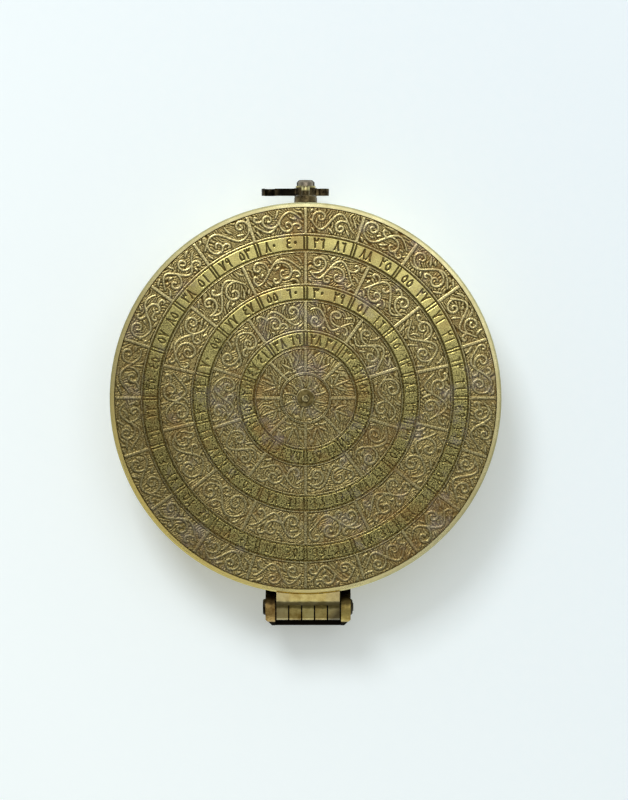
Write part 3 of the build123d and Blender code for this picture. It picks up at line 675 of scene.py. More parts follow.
def new_tree(name, inputs, outputs):
    """An empty geometry tree with these sockets, and the values that it is given."""
    tree = bpy.data.node_groups.new(name, "GeometryNodeTree")
    for side, sockets in (("INPUT", inputs), ("OUTPUT", outputs)):
        for label, kind in sockets.items():
            tree.interface.new_socket(label, in_out=side, socket_type="NodeSocket" + kind)
    return tree, add(tree, "NodeGroupInput").outputs


rows_group, given = new_tree("ring_rows", {"Inner": "Float", "Outer": "Float", "Rows": "Int"},
                             {"Flat": "Vector", "Turn": "Float", "Radius": "Float", "On Top": "Bool"})
tree = rows_group
place = add(tree, "ShaderNodeSeparateXYZ", [add(tree, "GeometryNodeInputPosition")]).outputs
turn = add(tree, MATH, [place["X"], -2 * pi], operation="MULTIPLY")
last = add(tree, MATH, [given["Rows"], 2.0], operation="ADD")
up = add(tree, MATH, [place["Y"], 0.5], operation="ADD")
row = add(tree, MATH, [up, last], operation="MULTIPLY")
across = add(tree, RANGE, {"Value": row, "From Min": 1.0, "From Max": given["Rows"],
                           "To Min": given["Inner"], "To Max": given["Outer"]})
before_last = add(tree, MATH, [last, 0.5], operation="SUBTRACT")
closing = add(tree, MATH, [row, before_last], operation="GREATER_THAN")
radius = add(tree, MIX, {"Factor": closing, "A": across, "B": given["Inner"]}, data_type="FLOAT")
along = add(tree, MATH, [turn], operation="COSINE")
aside = add(tree, MATH, [turn], operation="SINE")
x = add(tree, MATH, [along, radius], operation="MULTIPLY")
y = add(tree, MATH, [aside, radius], operation="MULTIPLY")
flat = add(tree, "ShaderNodeCombineXYZ", {"X": x, "Y": y})
first = add(tree, MATH, [row, 0.5], operation="GREATER_THAN")
under = add(tree, MATH, [given["Rows"], 0.5], operation="ADD")
below = add(tree, MATH, [row, under], operation="LESS_THAN")
on_top = add(tree, MATH, [first, below], operation="MULTIPLY")
add(tree, "NodeGroupOutput", {"Flat": flat, "Turn": turn, "Radius": radius, "On Top": on_top})
print("group:", tree.name, len(tree.nodes), "nodes")

# %% Tree: a chased ring
chased_tree, given = new_tree("chased_ring", {
    "Geometry": "Geometry", "Strokes": "Object", "Inner": "Float", "Outer": "Float",
    "Field Inner": "Float", "Field Outer": "Float", "Top": "Float", "Bottom": "Float", "Rows": "Int",
    "Columns": "Int", "Outline Width": "Float", "Outline Depth": "Float", "Ground Depth": "Float",
    "Cells": "Int", "Hatch Pitch": "Float", "Hatch Depth": "Float", "Raised": "Float",
    "Unevenness": "Float", "Seam Width": "Float", "Material": "Material",
    "Inside Material": "Material"}, {"Geometry": "Geometry"})
tree = chased_tree
columns = add(tree, MATH, [given["Columns"], 1.0], operation="ADD")
rows = add(tree, MATH, [given["Rows"], 3.0], operation="ADD")
grid = add(tree, "GeometryNodeMeshGrid", {"Size X": 1.0, "Size Y": 1.0, "Vertices X": columns,
                                          "Vertices Y": rows})
ring = add(tree, "GeometryNodeGroup", node_tree=rows_group)
for name in ("Inner", "Outer", "Rows"):
    tree.links.new(given[name], ring.inputs[name])
ring = ring.outputs
print("grid:", len(tree.nodes), "nodes so far")

# %% Distance to the strokes and to the field's edge
shake_size = 0.9 * MM
lines = add(tree, "GeometryNodeObjectInfo", {"Object": given["Strokes"]},
            transform_space="ORIGINAL").outputs["Geometry"]
nib = add(tree, "GeometryNodeCurvePrimitiveLine", {"Start": (-1, 0, 0), "End": (1, 0, 0)})
ribbons = add(tree, "GeometryNodeCurveToMesh", {"Curve": lines, "Profile Curve": nib,
                                                "Scale": add(tree, "GeometryNodeInputRadius")})
to_stroke = add(tree, "GeometryNodeProximity", {"Geometry": ribbons, "Sample Position": ring["Flat"]},
                target_element="FACES").outputs["Distance"]
from_inner = add(tree, MATH, [ring["Radius"], given["Field Inner"]], operation="SUBTRACT")
from_outer = add(tree, MATH, [given["Field Outer"], ring["Radius"]], operation="SUBTRACT")
to_edge = add(tree, MATH, [from_inner, from_outer], operation="MINIMUM")
edge_apart = add(tree, MATH, [to_edge], operation="ABSOLUTE")
edge_inside = add(tree, MATH, [to_edge, 0.0], operation="MAXIMUM")
edge_gap = add(tree, MIX, {"Factor": given["Raised"], "A": edge_apart, "B": edge_inside},
               data_type="FLOAT")
nearest = add(tree, MATH, [to_stroke, edge_gap], operation="MINIMUM")
shake = add(tree, NOISE, {"Vector": ring["Flat"], "Scale": 1 / shake_size, "Detail": 1.0})
shaken = add(tree, RANGE, {"Value": shake, "To Min": 0.75, "To Max": 1.25})
gap = add(tree, MATH, [nearest, shaken], operation="MULTIPLY")
print("distance:", len(tree.nodes), "nodes so far")

# %% Hatching, in a direction of its own for every cell
bend_size, bend_reach = 3.5 * MM, 4.0 * MM
ring_stride = 31.0   # keeps the dice of one ring apart from those of the next
turns = add(tree, MATH, [ring["Turn"], 2 * pi], operation="DIVIDE")
from_top = add(tree, MATH, [0.25, turns], operation="SUBTRACT")
cell = add(tree, MATH, [from_top, given["Cells"]], operation="MULTIPLY")
cell = add(tree, MATH, [cell, given["Cells"]], operation="FLOORED_MODULO")
cell = add(tree, MATH, [cell], operation="FLOOR")
dice = add(tree, MATH, [given["Cells"], ring_stride, cell], operation="MULTIPLY_ADD")
dice = add(tree, "ShaderNodeTexWhiteNoise", {"W": dice}, noise_dimensions="1D")
lean = add(tree, MATH, [dice, pi], operation="MULTIPLY")
lean = add(tree, "ShaderNodeCombineXYZ", {"Z": lean})
leaned = add(tree, "ShaderNodeVectorRotate", {"Vector": ring["Flat"], "Rotation": lean},
             rotation_type="EULER_XYZ")
bend = add(tree, NOISE, {"Vector": ring["Flat"], "Scale": 1 / bend_size, "Detail": 1.0})
bend = add(tree, MATH, [bend, bend_reach], operation="MULTIPLY")
stroke_way = add(tree, "ShaderNodeSeparateXYZ", [leaned]).outputs["X"]
stroke_way = add(tree, MATH, [stroke_way, bend], operation="ADD")
cycles = add(tree, MATH, [stroke_way, given["Hatch Pitch"]], operation="DIVIDE")
wave = add(tree, MATH, [cycles, 2 * pi], operation="MULTIPLY")
wave = add(tree, MATH, [wave], operation="SINE")
hatch = add(tree, RANGE, {"Value": wave, "From Min": -0.35, "From Max": 0.75},
            interpolation_type="SMOOTHSTEP")
print("hatching:", len(tree.nodes), "nodes so far")

# %% Height from the distance
half_outline = add(tree, MATH, [given["Outline Width"], 0.5], operation="MULTIPLY")
falls = add(tree, RANGE, {"Value": gap, "From Min": 0.0, "From Max": half_outline},
            interpolation_type="SMOOTHSTEP")
rises = add(tree, RANGE, {"Value": gap, "From Min": half_outline, "From Max": given["Outline Width"]},
            interpolation_type="SMOOTHSTEP")
hatch_height = add(tree, MATH, [hatch, given["Hatch Depth"]], operation="MULTIPLY")
lift = add(tree, MATH, [given["Outline Depth"], given["Ground Depth"]], operation="SUBTRACT")
ground_lift = add(tree, MATH, [lift, hatch_height], operation="SUBTRACT")
raised_ground = add(tree, MATH, [rises, ground_lift], operation="MULTIPLY")
cut = add(tree, MATH, [falls, given["Outline Depth"]], operation="MULTIPLY")
raised_height = add(tree, MATH, [raised_ground, cut], operation="SUBTRACT")
top_tone = add(tree, MATH, [1.0, falls], operation="SUBTRACT")
cut_line = add(tree, MATH, [top_tone, given["Outline Depth"]], operation="MULTIPLY")
cut_height = add(tree, MATH, [cut_line, -1.0], operation="MULTIPLY")
height = add(tree, MIX, {"Factor": given["Raised"], "A": cut_height, "B": raised_height},
             data_type="FLOAT")
print("height:", len(tree.nodes), "nodes so far")

# %% Tone from the distance, dark circles and the seam
bare_tone, hatched_tone = 0.74, 0.04   # of the ground, between the hatching and in it
circle_tone = -0.35
seam_depth = 0.10 * MM
hatch_tone = add(tree, MATH, [hatch, hatched_tone - bare_tone, bare_tone],
                 operation="MULTIPLY_ADD")
ground_tone = add(tree, MATH, [rises, hatch_tone], operation="MULTIPLY")
raised_tone = add(tree, MATH, [ground_tone, top_tone], operation="ADD")
tone = add(tree, MIX, {"Factor": given["Raised"], "A": falls, "B": raised_tone}, data_type="FLOAT")
line_inset = add(tree, MATH, [given["Raised"], half_outline], operation="MULTIPLY")
to_circle = add(tree, MATH, [to_edge, line_inset], operation="SUBTRACT")
to_circle = add(tree, MATH, [to_circle], operation="ABSOLUTE")
circle_dark = add(tree, RANGE, {"Value": to_circle, "From Max": half_outline, "To Min": circle_tone,
                                "To Max": 0.0})
tone = add(tree, MATH, [tone, circle_dark], operation="ADD")
from_rim = add(tree, MATH, [given["Outer"], ring["Radius"]], operation="SUBTRACT")
half_seam = add(tree, MATH, [given["Seam Width"], 0.5], operation="MULTIPLY")
clear = add(tree, RANGE, {"Value": from_rim, "From Min": half_seam, "From Max": given["Seam Width"]})
tone = add(tree, MATH, [tone, clear], operation="MULTIPLY")
seam_cut = add(tree, RANGE, {"Value": clear, "To Min": -seam_depth, "To Max": 0.0})
height = add(tree, MATH, [height, seam_cut], operation="MINIMUM")
print("tone:", len(tree.nodes), "nodes so far")

# %% Place the rows, close the ring and give it its material
swell_size = 7 * MM
weld_gap = 0.001 * MM
faces_up, faces_down = 0.1, -0.5
swell = add(tree, NOISE, {"Vector": ring["Flat"], "Scale": 1 / swell_size, "Detail": 1.5})
swell = add(tree, MATH, [swell, 0.5], operation="SUBTRACT")
uneven = add(tree, MATH, [swell, given["Unevenness"], height], operation="MULTIPLY_ADD")
face = add(tree, MATH, [given["Top"], uneven], operation="ADD")
z = add(tree, MIX, {"Factor": ring["On Top"], "A": given["Bottom"], "B": face}, data_type="FLOAT")
rise = add(tree, "ShaderNodeCombineXYZ", {"Z": z})
spot = add(tree, "ShaderNodeVectorMath", [ring["Flat"], rise], operation="ADD")
toned = add(tree, "GeometryNodeStoreNamedAttribute", {"Geometry": grid, "Name": "tone",
                                                      "Value": tone}, data_type="FLOAT", domain="POINT")
placed = add(tree, "GeometryNodeSetPosition", {"Geometry": toned, "Position": spot})
welded = add(tree, "GeometryNodeMergeByDistance", {"Geometry": placed, "Distance": weld_gap})
facing = add(tree, "ShaderNodeSeparateXYZ", [add(tree, "GeometryNodeInputNormal")]).outputs["Z"]
smooth = add(tree, "FunctionNodeCompare", [facing, faces_up], operation="GREATER_THAN")
shaded = add(tree, "GeometryNodeSetShadeSmooth", {"Geometry": welded, "Shade Smooth": smooth})
real = add(tree, "GeometryNodeRealizeInstances", {"Geometry": shaded})
dressed = add(tree, "GeometryNodeSetMaterial", {"Geometry": real, "Material": given["Material"]})
downwards = add(tree, "FunctionNodeCompare", [facing, faces_down], operation="LESS_THAN")
dressed = add(tree, "GeometryNodeSetMaterial", {"Geometry": dressed, "Selection": downwards,
                                                "Material": given["Inside Material"]})
add(tree, "NodeGroupOutput", {"Geometry": dressed})
print("tree:", tree.name, len(tree.nodes), "nodes")

# %% [markdown]
# ## Running the tree on each ring
# The lid's plate is made ring by ring, so that every ring keeps a fine grid and still stays within
# the faces one piece may have. A live modifier could stay on each, but the export wants plain
# meshes. So a modifier's inputs are set by socket identifier before the object is first evaluated,
# the evaluated mesh is copied to a plain object, and the helper with its modifier is thrown away.

# %% Modifier to plain mesh


def grow(name, tree, values):
    """Evaluate a geometry tree once with these named values and keep the result as a plain mesh."""
    helper = bpy.data.objects.new(name + "_helper", bpy.data.meshes.new(name + "_helper"))
    scene.collection.objects.link(helper)
    modifier = helper.modifiers.new("grow", "NODES")
    modifier.node_group = tree
    for socket in tree.interface.items_tree:
        if socket.in_out == "INPUT" and socket.name in values:
            modifier[socket.identifier] = values[socket.name]
    depsgraph = bpy.context.evaluated_depsgraph_get()
    mesh = bpy.data.meshes.new_from_object(helper.evaluated_get(depsgraph), depsgraph=depsgraph)
    mesh.name = name
    bpy.data.objects.remove(helper)
    piece = bpy.data.objects.new(name, mesh)
    scene.collection.objects.link(piece)
    return piece


print("trees to run:", chased_tree.name)

# %% Rings of the lid's plate
rivet_hole = 0.66 * MM
half_fillet = ring_fillet / 2
seam_width, no_seam = 0.24 * MM, 0.001 * MM
finest_pitch, most_quads = 0.085 * MM, 93000
foliage_cut = {
    "Outline Width": 0.27 * MM, "Outline Depth": 0.11 * MM, "Ground Depth": 0.05 * MM,
    "Hatch Pitch": 0.48 * MM, "Hatch Depth": 0.07 * MM, "Raised": 1.0, "Unevenness": 0.05 * MM,
    "Material": chased_brass}
number_cut = {
    "Outline Width": 0.38 * MM, "Outline Depth": 0.11 * MM, "Ground Depth": 0.0,
    "Hatch Pitch": 1.0 * MM, "Hatch Depth": 0.0, "Raised": 0.0, "Unevenness": 0.07 * MM,
    "Material": burnished_brass}


def ring_piece(name, strokes, cells, field, low, high, cut):
    """One ring of the plate from low to high, with a grid as fine as its count of faces allows."""
    pitch = max(finest_pitch, (pi * (high**2 - low**2) / most_quads) ** 0.5)
    return grow(name, chased_tree, {
        "Strokes": strokes, "Inner": low, "Outer": high, "Field Inner": field[0],
        "Field Outer": field[1], "Top": plate_high.z, "Bottom": plate_low.z,
        "Rows": int((high - low) / pitch), "Columns": int(pi * (high + low) / pitch), "Cells": cells,
        "Seam Width": seam_width if high == plate_radius else no_seam,
        "Inside Material": inside_brass, **cut})


plate_pieces = []
for (cells, inner, outer), strokes in zip(foliage_rings, foliage_strokes):
    name = "centre_wreath" if inner == centre_boss else f"foliage_ring_{cells}"
    low = rivet_hole if inner == centre_boss else inner - half_fillet
    high = plate_radius if outer == foliage_rings[0][2] else outer + half_fillet
    plate_pieces.append(ring_piece(name, strokes, cells, (inner, outer), low, high, foliage_cut))
for (cells, inner, outer), strokes in zip(number_rings, number_lines):
    plate_pieces.append(ring_piece(f"number_ring_{cells}", strokes, cells, (inner, outer),
                                   inner - half_fillet, outer + half_fillet, number_cut))
for strokes in foliage_strokes + number_lines:
    bpy.data.objects.remove(strokes)
for piece in plate_pieces:
    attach(piece, "lid")
    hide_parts("lid_plate")
    print(piece.name, len(piece.data.polygons), "faces")

# %% [markdown]
# ## Glass over the needle
# A flat pane keeps dust and fingers off the needle. Plain transparency would show what lies below,
# but it would mirror nothing and bend nothing, so this is a glass shader, with the slow ripples of
# an old pane.

# %% Flat glass
# Polished window glass: clear, with a faint green and slow ripples that bend what it mirrors.
ripple_size, ripple_depth = 14 * MM, 0.05 * MM
glass, tree = new_material("flat_glass")
place = add(tree, "ShaderNodeTexCoord").outputs["Object"]
ripple = add(tree, NOISE, {"Vector": place, "Scale": 1 / ripple_size, "Detail": 1.0})
wave = add(tree, "ShaderNodeBump", {"Height": ripple, "Strength": 0.1, "Distance": ripple_depth})
pane = add(tree, "ShaderNodeBsdfPrincipled", {"Base Color": linear("#f2faf6"), "Roughness": 0.02,
                                              "IOR": 1.5, "Transmission Weight": 1.0, "Normal": wave})
add(tree, "ShaderNodeOutputMaterial", {"Surface": pane})
print("glass:", len(tree.nodes), "nodes")

# %% [markdown]
# ## Brass of the bands, hinge and clasp
# The turned and filed pieces keep their CAD shape, and their brass differs in how far it has darkened
# or been rubbed, and in painted shade and highlights. One brass for all would look new. Painted shade
# goes where little light reaches, so the ramps below are set to real places on the pieces: under the
# hinge, behind the cheeks and along the hook's arms. Each lists a direction, a colour and its
# strength from place to place.

# %% Painted shade and sheen of the hinge
RIGHT, OUTWARDS, UP = (1, 0, 0), (0, 1, 0), (0, 0, 1)
case_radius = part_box("lid_band")[1].x
hinge_low, hinge_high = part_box("hinge_base_leaf")
leaf_low, leaf_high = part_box("hinge_lid_leaf")
leaf_corner = 0.7 * (leaf_high.x - leaf_low.y)
hinge_axis_z = (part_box("hinge_pin")[0].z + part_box("hinge_pin")[1].z) / 2

# Painted shade in the sloping fold of the lid's leaf.
leaf_fold_shade = (UP, "#54421a", [
    (leaf_high.z - 2.5 * MM, 0.0), (leaf_high.z - 2.1 * MM, 0.76),
    (leaf_high.z - 0.7 * MM, 0.66), (leaf_high.z - 0.3 * MM, 0.0)])
# Painted shade: black low down on the hinge, under the knuckles.
tail_shade = (UP, "#16110a", [
    (hinge_low.z, 1.0), (hinge_high.z - 4.0 * MM, 1.0), (hinge_high.z - 2.6 * MM, 0.0)])
# Painted shadow below the knuckles' axis.
under_knuckle_shade = (UP, "#241c0e", [(hinge_axis_z - 0.3 * MM, 1.0), (hinge_axis_z + 0.9 * MM, 0.0)])
# Painted reflection: a grey sheen at both ends of the lid's leaf.
end_painted_sheen = (RIGHT, "#a1957f", [
    (leaf_low.x, 0.40), (leaf_low.x + 2.4 * MM, 0.25), (leaf_low.x + 2.9 * MM, 0.0),
    (leaf_high.x - 2.9 * MM, 0.0), (leaf_high.x - 2.4 * MM, 0.25), (leaf_high.x, 0.40)])
# Painted shade at the lower right corner of the knuckles.
corner_shade = ((0.7, -0.7, 0.0), "#332a1e", [
    (leaf_corner - 2.3 * MM, 0.0), (leaf_corner - 1.2 * MM, 0.65)])
# Painted shade along the knuckles' inner edge and the strip above them.
knuckle_strip_shade = (OUTWARDS, "#564b22", [
    (-case_radius - 3.1 * MM, 0.0), (-case_radius - 2.8 * MM, 0.75),
    (-case_radius - 1.7 * MM, 0.85), (-case_radius - 1.4 * MM, 0.0)])
# Painted shade: the cheeks blacken towards the case.
cheek_shade = (OUTWARDS, "#17120b", [
    (-case_radius - 3.6 * MM, 0.0), (-case_radius - 2.0 * MM, 0.9), (-case_radius, 1.0)])
print("hinge axis", round(hinge_axis_z / MM, 2), "mm up")

# %% Patina, painted shade and highlight of the bands and the clasp
stud_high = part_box("catch_stud")[1]
# Tarnish and painted shade: the band darkens towards the left.
left_tarnish_and_shade = (RIGHT, "#84753f", [(-case_radius, 0.70), (-0.6 * case_radius, 0.36), (0.0, 0.0)])
# Painted shade: the band darkens towards the right.
right_shade = ((0.94, -0.34, 0.0), "#7d7145", [
    (0.62 * case_radius, 0.0), (0.85 * case_radius, 0.30), (case_radius, 0.50)])
lower_gold = ((-0.57, -0.82, 0.0), "#e4c862", [
    (0.5 * case_radius, 0.0), (0.71 * case_radius, 0.25), (case_radius, 0.6)])
# Rubbing and a painted highlight: a pale band round the catch's neck.
neck_rub_and_highlight = (OUTWARDS, "#efe3a0", [
    (case_radius + 2.2 * MM, 0.0), (case_radius + 2.7 * MM, 0.9),
    (case_radius + 3.2 * MM, 0.9), (case_radius + 3.6 * MM, 0.0)])
# Painted shade: the hook's arms are drawn black.
arm_shade = (RIGHT, "#0c0a07", [
    (-6.5 * MM, 0.7), (-5.0 * MM, 1.0), (-2.2 * MM, 0.95), (-1.2 * MM, 0.0),
    (2.0 * MM, 0.0), (3.0 * MM, 0.35)])
head_grey = (OUTWARDS, "#9b907f", [(stud_high.y - 1.6 * MM, 0.0), (stud_high.y - 1.0 * MM, 0.85)])
print("catch stud reaches", round(stud_high.y / MM, 2), "mm out")

# %% Finishes by slot
# Each metal: its bright and dull colour, roughness, size of its clouds and how far they dull it.
slot_finishes = {
    # Turned, and polished by hands: pale and glossy, with fine lines round it, golden at one side;
    # darker at the left by tarnish and painted shade, and at the right by painted shade.
    "polished_brass": plain_metal("turned_brass", "#ebe2ab", "#bdb076", 0.22, 5 * MM, 0.6,
                                  [left_tarnish_and_shade, right_shade, lower_gold], turning_pitch),
    # Worn thin and gone brown: dull, with small dark blots.
    "engraved_brass": plain_metal("worn_brass", "#83764a", "#4c4122", 0.46, 1.2 * MM, 0.9),
    # Filed by hand: warm yellow with brown clouds, painted shade along the knuckles' inner edge and
    # below their axis, and black painted shade underneath.
    "hinge_brass": plain_metal("filed_brass", "#dcc478", "#977c3b", 0.36, 2 * MM, 1.0,
                               [knuckle_strip_shade, under_knuckle_shade, tail_shade]),
    # Blackened by age: nearly black, with brown-grey rubs.
    "clasp_brass": plain_metal("blackened_brass", "#6d6047", "#17130d", 0.36, 1.6 * MM, 1.0),
    # Turned and kept inside the box: an even, bright yellow.
    "dial_brass": plain_metal("turned_dial_brass", "#d9cd90", "#bcae72", 0.30, 6 * MM, 0.5,
                              turning=turning_pitch),
    # Steel tempered over a flame: deep blue that shines like ink.
    "blued_steel": plain_metal("tempered_blue_steel", "#2c3f6e", "#1a2440", 0.25, 5 * MM, 0.8),
    # Steel ground to a point: a cold grey gloss.
    "bright_steel": plain_metal("ground_steel", "#c4c3bf", "#8f8d88", 0.30, 3 * MM, 0.7),
    "clear_glass": glass,
}
print(len(slot_finishes), "slots have a finish")

# %% Finishes of single nodes
# Pin whose heads have blackened most: dark brown, hardly a shine.
pin_brass = plain_metal("blackened_pin_brass", "#474133", "#13110b", 0.40, 1.6 * MM, 1.0)
node_finishes = {
    "hinge_pin": pin_brass,
    "hinge_pin_burr": pin_brass,
    # Rubbed by hands: gold on the flat; painted shade in the fold, in the strip above the knuckles,
    # below their axis and at the lower right corner; a painted grey sheen towards both ends.
    "hinge_lid_leaf": plain_metal("rubbed_leaf_brass", "#e6d48a", "#b59c58", 0.34, 2 * MM, 0.9,
                                  [end_painted_sheen, corner_shade, leaf_fold_shade, knuckle_strip_shade, under_knuckle_shade]),
    # Browned by handling: amber at the free end, and black towards the case and underneath, which is
    # painted shade.
    "hinge_cheek_left": plain_metal("browned_brass", "#d2b06c", "#8a6a34", 0.40, 1.4 * MM, 1.0,
                                    [cheek_shade, tail_shade]),
    # Rubbed more than the left one: yellower and smoother, with the same painted shade towards the case
    # and underneath.
    "hinge_cheek_right": plain_metal("rubbed_cheek_brass", "#dcc473", "#a58c46", 0.36, 1.4 * MM, 0.9,
                                     [cheek_shade, tail_shade]),
    # Matted with fine grit, as dials are: pale and without glare, so that its lines can be read.
    "dial_plate": plain_metal("matted_dial_brass", "#cfc287", "#afa167", 0.60, 6 * MM, 0.5,
                              turning=turning_pitch),
    # Peened with a hammer: bright spots between dark pits.
    "lid_rivet": plain_metal("peened_brass", "#cfc28c", "#4a3d20", 0.24, 0.9 * MM, 1.0),
    # Worn where a finger lifts it: brown in the middle, with painted shade blackening the arms.
    "clasp_hook": plain_metal("worn_hook_brass", "#7e6e4e", "#1f1a12", 0.34, 1.3 * MM, 1.0,
                              [arm_shade]),
    # Rubbed by the turning hook: a bright yellow rim, its paleness partly a painted glint.
    "clasp_washer": plain_metal("rubbed_washer_brass", "#ddd090", "#a8955a", 0.30, 2 * MM, 0.7),
    # Rubbed at the neck by the hook's notch: a pale neck, partly a painted highlight, under a grey head.
    "catch_stud": plain_metal("rubbed_stud_brass", "#7f6f4c", "#231c11", 0.32, 1.2 * MM, 1.0,
                              [neck_rub_and_highlight, head_grey]),
}
print(len(node_finishes), "nodes have a finish of their own")

# %% Give every CAD node its finish
node_slot = {row["node"]: row["material_slot"] for row in frame["record"]["subparts"]}
for name, node in nodes.items():
    node.data.materials.clear()
    node.data.materials.append(node_finishes.get(name) or slot_finishes[node_slot[name]])
print("dressed", len(nodes), "nodes")

# %% [markdown]
# ## Scale of the dial
# Inside the box a flat ring surrounds the compass. An engraver divides it on a wheel and scribes
# the degree lines with a ruler, and the cuts blacken. They could be cut as the lid's are, but such
# thin lines would need a far finer grid, so each is a dark bar that stands a hair above the plate.
# The lines repeat round the centre, and one tree sets any small piece round it. A second tree gives
# a section to strokes of any shape, for the circles and the numbers.

# %% Tree: pieces round the centre
round_tree, given = new_tree("round_the_centre", {
    "Geometry": "Geometry", "Piece": "Object", "Count": "Int", "Radius": "Float", "Level": "Float",
    "Start": "Float", "Material": "Material"}, {"Geometry": "Geometry"})
tree = round_tree
circle = add(tree, "GeometryNodeMeshCircle", {"Vertices": given["Count"], "Radius": given["Radius"]})
step = add(tree, MATH, [2 * pi, given["Count"]], operation="DIVIDE")
turn = add(tree, MATH, [add(tree, "GeometryNodeInputIndex"), step], operation="MULTIPLY")
facing = add(tree, "ShaderNodeCombineXYZ", {"Z": turn})
piece = add(tree, "GeometryNodeObjectInfo", {"Object": given["Piece"]},
            transform_space="ORIGINAL").outputs["Geometry"]
copies = add(tree, "GeometryNodeInstanceOnPoints", {"Points": circle, "Instance": piece,
                                                    "Rotation": facing})
level = add(tree, "ShaderNodeCombineXYZ", {"Z": given["Level"]})
start = add(tree, "ShaderNodeCombineXYZ", {"Z": given["Start"]})
turned_copies = add(tree, "GeometryNodeTransform", {"Geometry": copies, "Translation": level,
                                                    "Rotation": start})
real = add(tree, "GeometryNodeRealizeInstances", {"Geometry": turned_copies})
dressed = add(tree, "GeometryNodeSetMaterial", {"Geometry": real, "Material": given["Material"]})
add(tree, "NodeGroupOutput", {"Geometry": dressed})
print("tree:", tree.name, len(tree.nodes), "nodes")

# %% Tree: bars along strokes
bar_tree, given = new_tree("bars_along_strokes", {
    "Geometry": "Geometry", "Strokes": "Object", "Level": "Float", "Material": "Material"},
    {"Geometry": "Geometry"})
tree = bar_tree
lines = add(tree, "GeometryNodeObjectInfo", {"Object": given["Strokes"]},
            transform_space="ORIGINAL").outputs["Geometry"]
section = add(tree, "GeometryNodeCurvePrimitiveQuadrilateral", {"Width": 2.0, "Height": 0.5})
swept = add(tree, "GeometryNodeCurveToMesh", {"Curve": lines, "Profile Curve": section,
                                              "Scale": add(tree, "GeometryNodeInputRadius"),
                                              "Fill Caps": True})
level = add(tree, "ShaderNodeCombineXYZ", {"Z": given["Level"]})
raised = add(tree, "GeometryNodeTransform", {"Geometry": swept, "Translation": level})
real = add(tree, "GeometryNodeRealizeInstances", {"Geometry": raised})
dressed = add(tree, "GeometryNodeSetMaterial", {"Geometry": real, "Material": given["Material"]})
add(tree, "NodeGroupOutput", {"Geometry": dressed})
print("tree:", tree.name, len(tree.nodes), "nodes")

# %% Degree lines, in steps of 5, 10 and 30
dial_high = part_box("dial_plate")[1]
scale_radius = dial_high.x - 1.5 * MM
line_width, line_rise = 0.12 * MM, 0.015 * MM
degree_lengths = {5: 1.0 * MM, 10: 1.7 * MM, 30: 2.6 * MM}
# Cuts in brass that have blackened: flat dark lines without gloss.
dark_cuts = plain_metal("blackened_cut_brass", "#2d2716", "#14110a", 0.55, 1.5 * MM, 1.0)


def bar(name, corners, height):
    """A flat piece with this outline, raised by its height."""
    count = len(corners)
    points = [(x, y, z) for z in (0, height) for x, y in corners]
    sides = [(i, (i + 1) % count, count + (i + 1) % count, count + i) for i in range(count)]
    mesh = bpy.data.meshes.new(name)
    mesh.from_pydata(points, [], [tuple(range(count))[::-1], tuple(range(count, 2 * count))] + sides)
    return bpy.data.objects.new(name, mesh)


dial_pieces = []
for degrees, length in degree_lengths.items():
    line = bar("degree_line", [(-length, -line_width / 2), (0, -line_width / 2), (0, line_width / 2),
                               (-length, line_width / 2)], line_rise)
    dial_pieces.append(grow(f"degree_lines_{degrees}", round_tree, {
        "Piece": line, "Count": 360 // degrees, "Radius": scale_radius, "Level": dial_high.z,
        "Start": pi / 2, "Material": dark_cuts}))
    bpy.data.objects.remove(line)
print([piece.name for piece in dial_pieces])

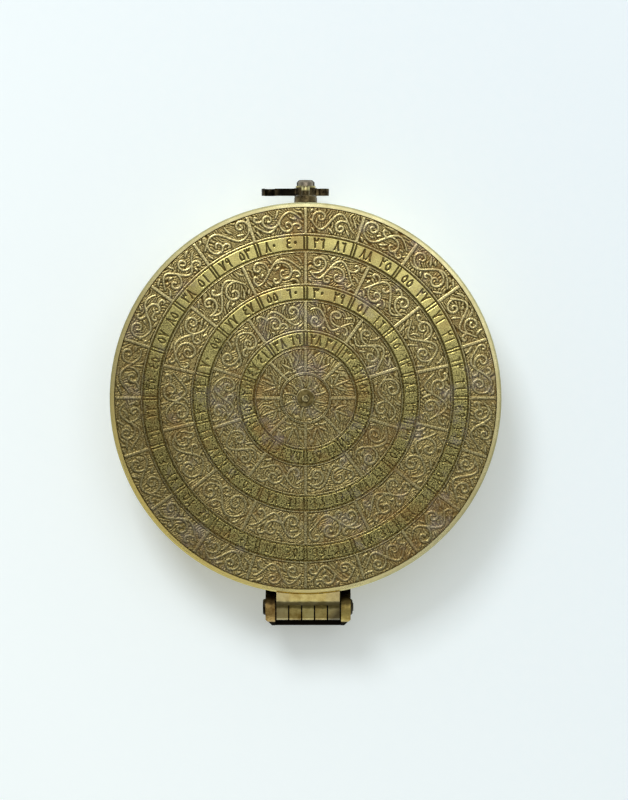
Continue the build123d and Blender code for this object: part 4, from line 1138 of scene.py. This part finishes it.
# %% Circles, bare table cells and numbers
table_outer = scale_radius - 6.0 * MM
table_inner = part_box("compass_glass")[1].x + 2.2 * MM
table_cells, circle_points = 24, 145
numbers_radius = scale_radius - 4.3 * MM
dial_number_height, dial_number_half = 1.7 * MM, 0.09 * MM
strokes = []
turn = np.linspace(0, 2 * pi, circle_points)
for radius in (scale_radius, scale_radius - degree_lengths[30], table_outer, table_inner):
    circle = np.stack([radius * np.cos(turn), radius * np.sin(turn), 0 * turn], 1)
    strokes.append((circle, line_width / 2))
for cell in range(table_cells):
    strokes.append(spoke(table_inner, table_outer, 2 * pi * cell / table_cells, line_width / 2))
for degrees in range(30, 361, 30):
    drawn = number_strokes(str(degrees), dial_number_height, dial_number_half)
    strokes += wrap(drawn, numbers_radius, pi / 2 - radians(degrees))
lines = stroke_curve("dial_strokes", strokes)
dial_pieces.append(grow("dial_numbers", bar_tree, {
    "Strokes": lines, "Level": dial_high.z, "Material": dark_cuts}))
bpy.data.objects.remove(lines)
print("dial_numbers:", len(dial_pieces[-1].data.polygons), "faces")

# %% [markdown]
# ## Rose under the needle
# At the bottom of the cup lies a thin plate with an eight-pointed star, the traditional wind rose.
# It could be painted, but thin raised rays hold their edges from close by. Each ray has a bright
# and a dark half, like a blade with a ridge, so the star reads from any side.

# %% Eight-pointed rose
rose_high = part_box("compass_rose")[1]
ray_height = 0.05 * MM
ray_start, ray_shoulder = 2.0 * MM, 1.8 * MM
# Brass polished on one half of a ray, as pale as light on a blade.
bright_ray = plain_metal("ray_brass", "#e3d48e", "#b7a25e", 0.26, 6 * MM, 0.6)
# Patina left on the other half, as brown as its shaded side.
dark_ray = plain_metal("ray_patina", "#5b4a26", "#3a2f18", 0.42, 4 * MM, 0.9)
# Each size: reach from the centre, half width, direction of the first ray.
ray_sizes = {"short": (11.0 * MM, 2.1 * MM, pi / 4), "long": (16.0 * MM, 2.6 * MM, pi / 2)}
for size, (reach, half_width, start) in ray_sizes.items():
    for side, finish in ((1, bright_ray), (-1, dark_ray)):
        outline = [(0, 0), (reach - ray_start, 0), (ray_shoulder, side * half_width)][::side]
        ray = bar("rose_ray", outline, ray_height)
        dial_pieces.append(grow(f"rose_{size}_{finish.name}", round_tree, {
            "Piece": ray, "Count": 4, "Radius": ray_start, "Level": rose_high.z, "Start": start,
            "Material": finish}))
        bpy.data.objects.remove(ray)
for piece in dial_pieces:
    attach(piece, "base")
print(len(dial_pieces), "pieces on the dial and in the cup")
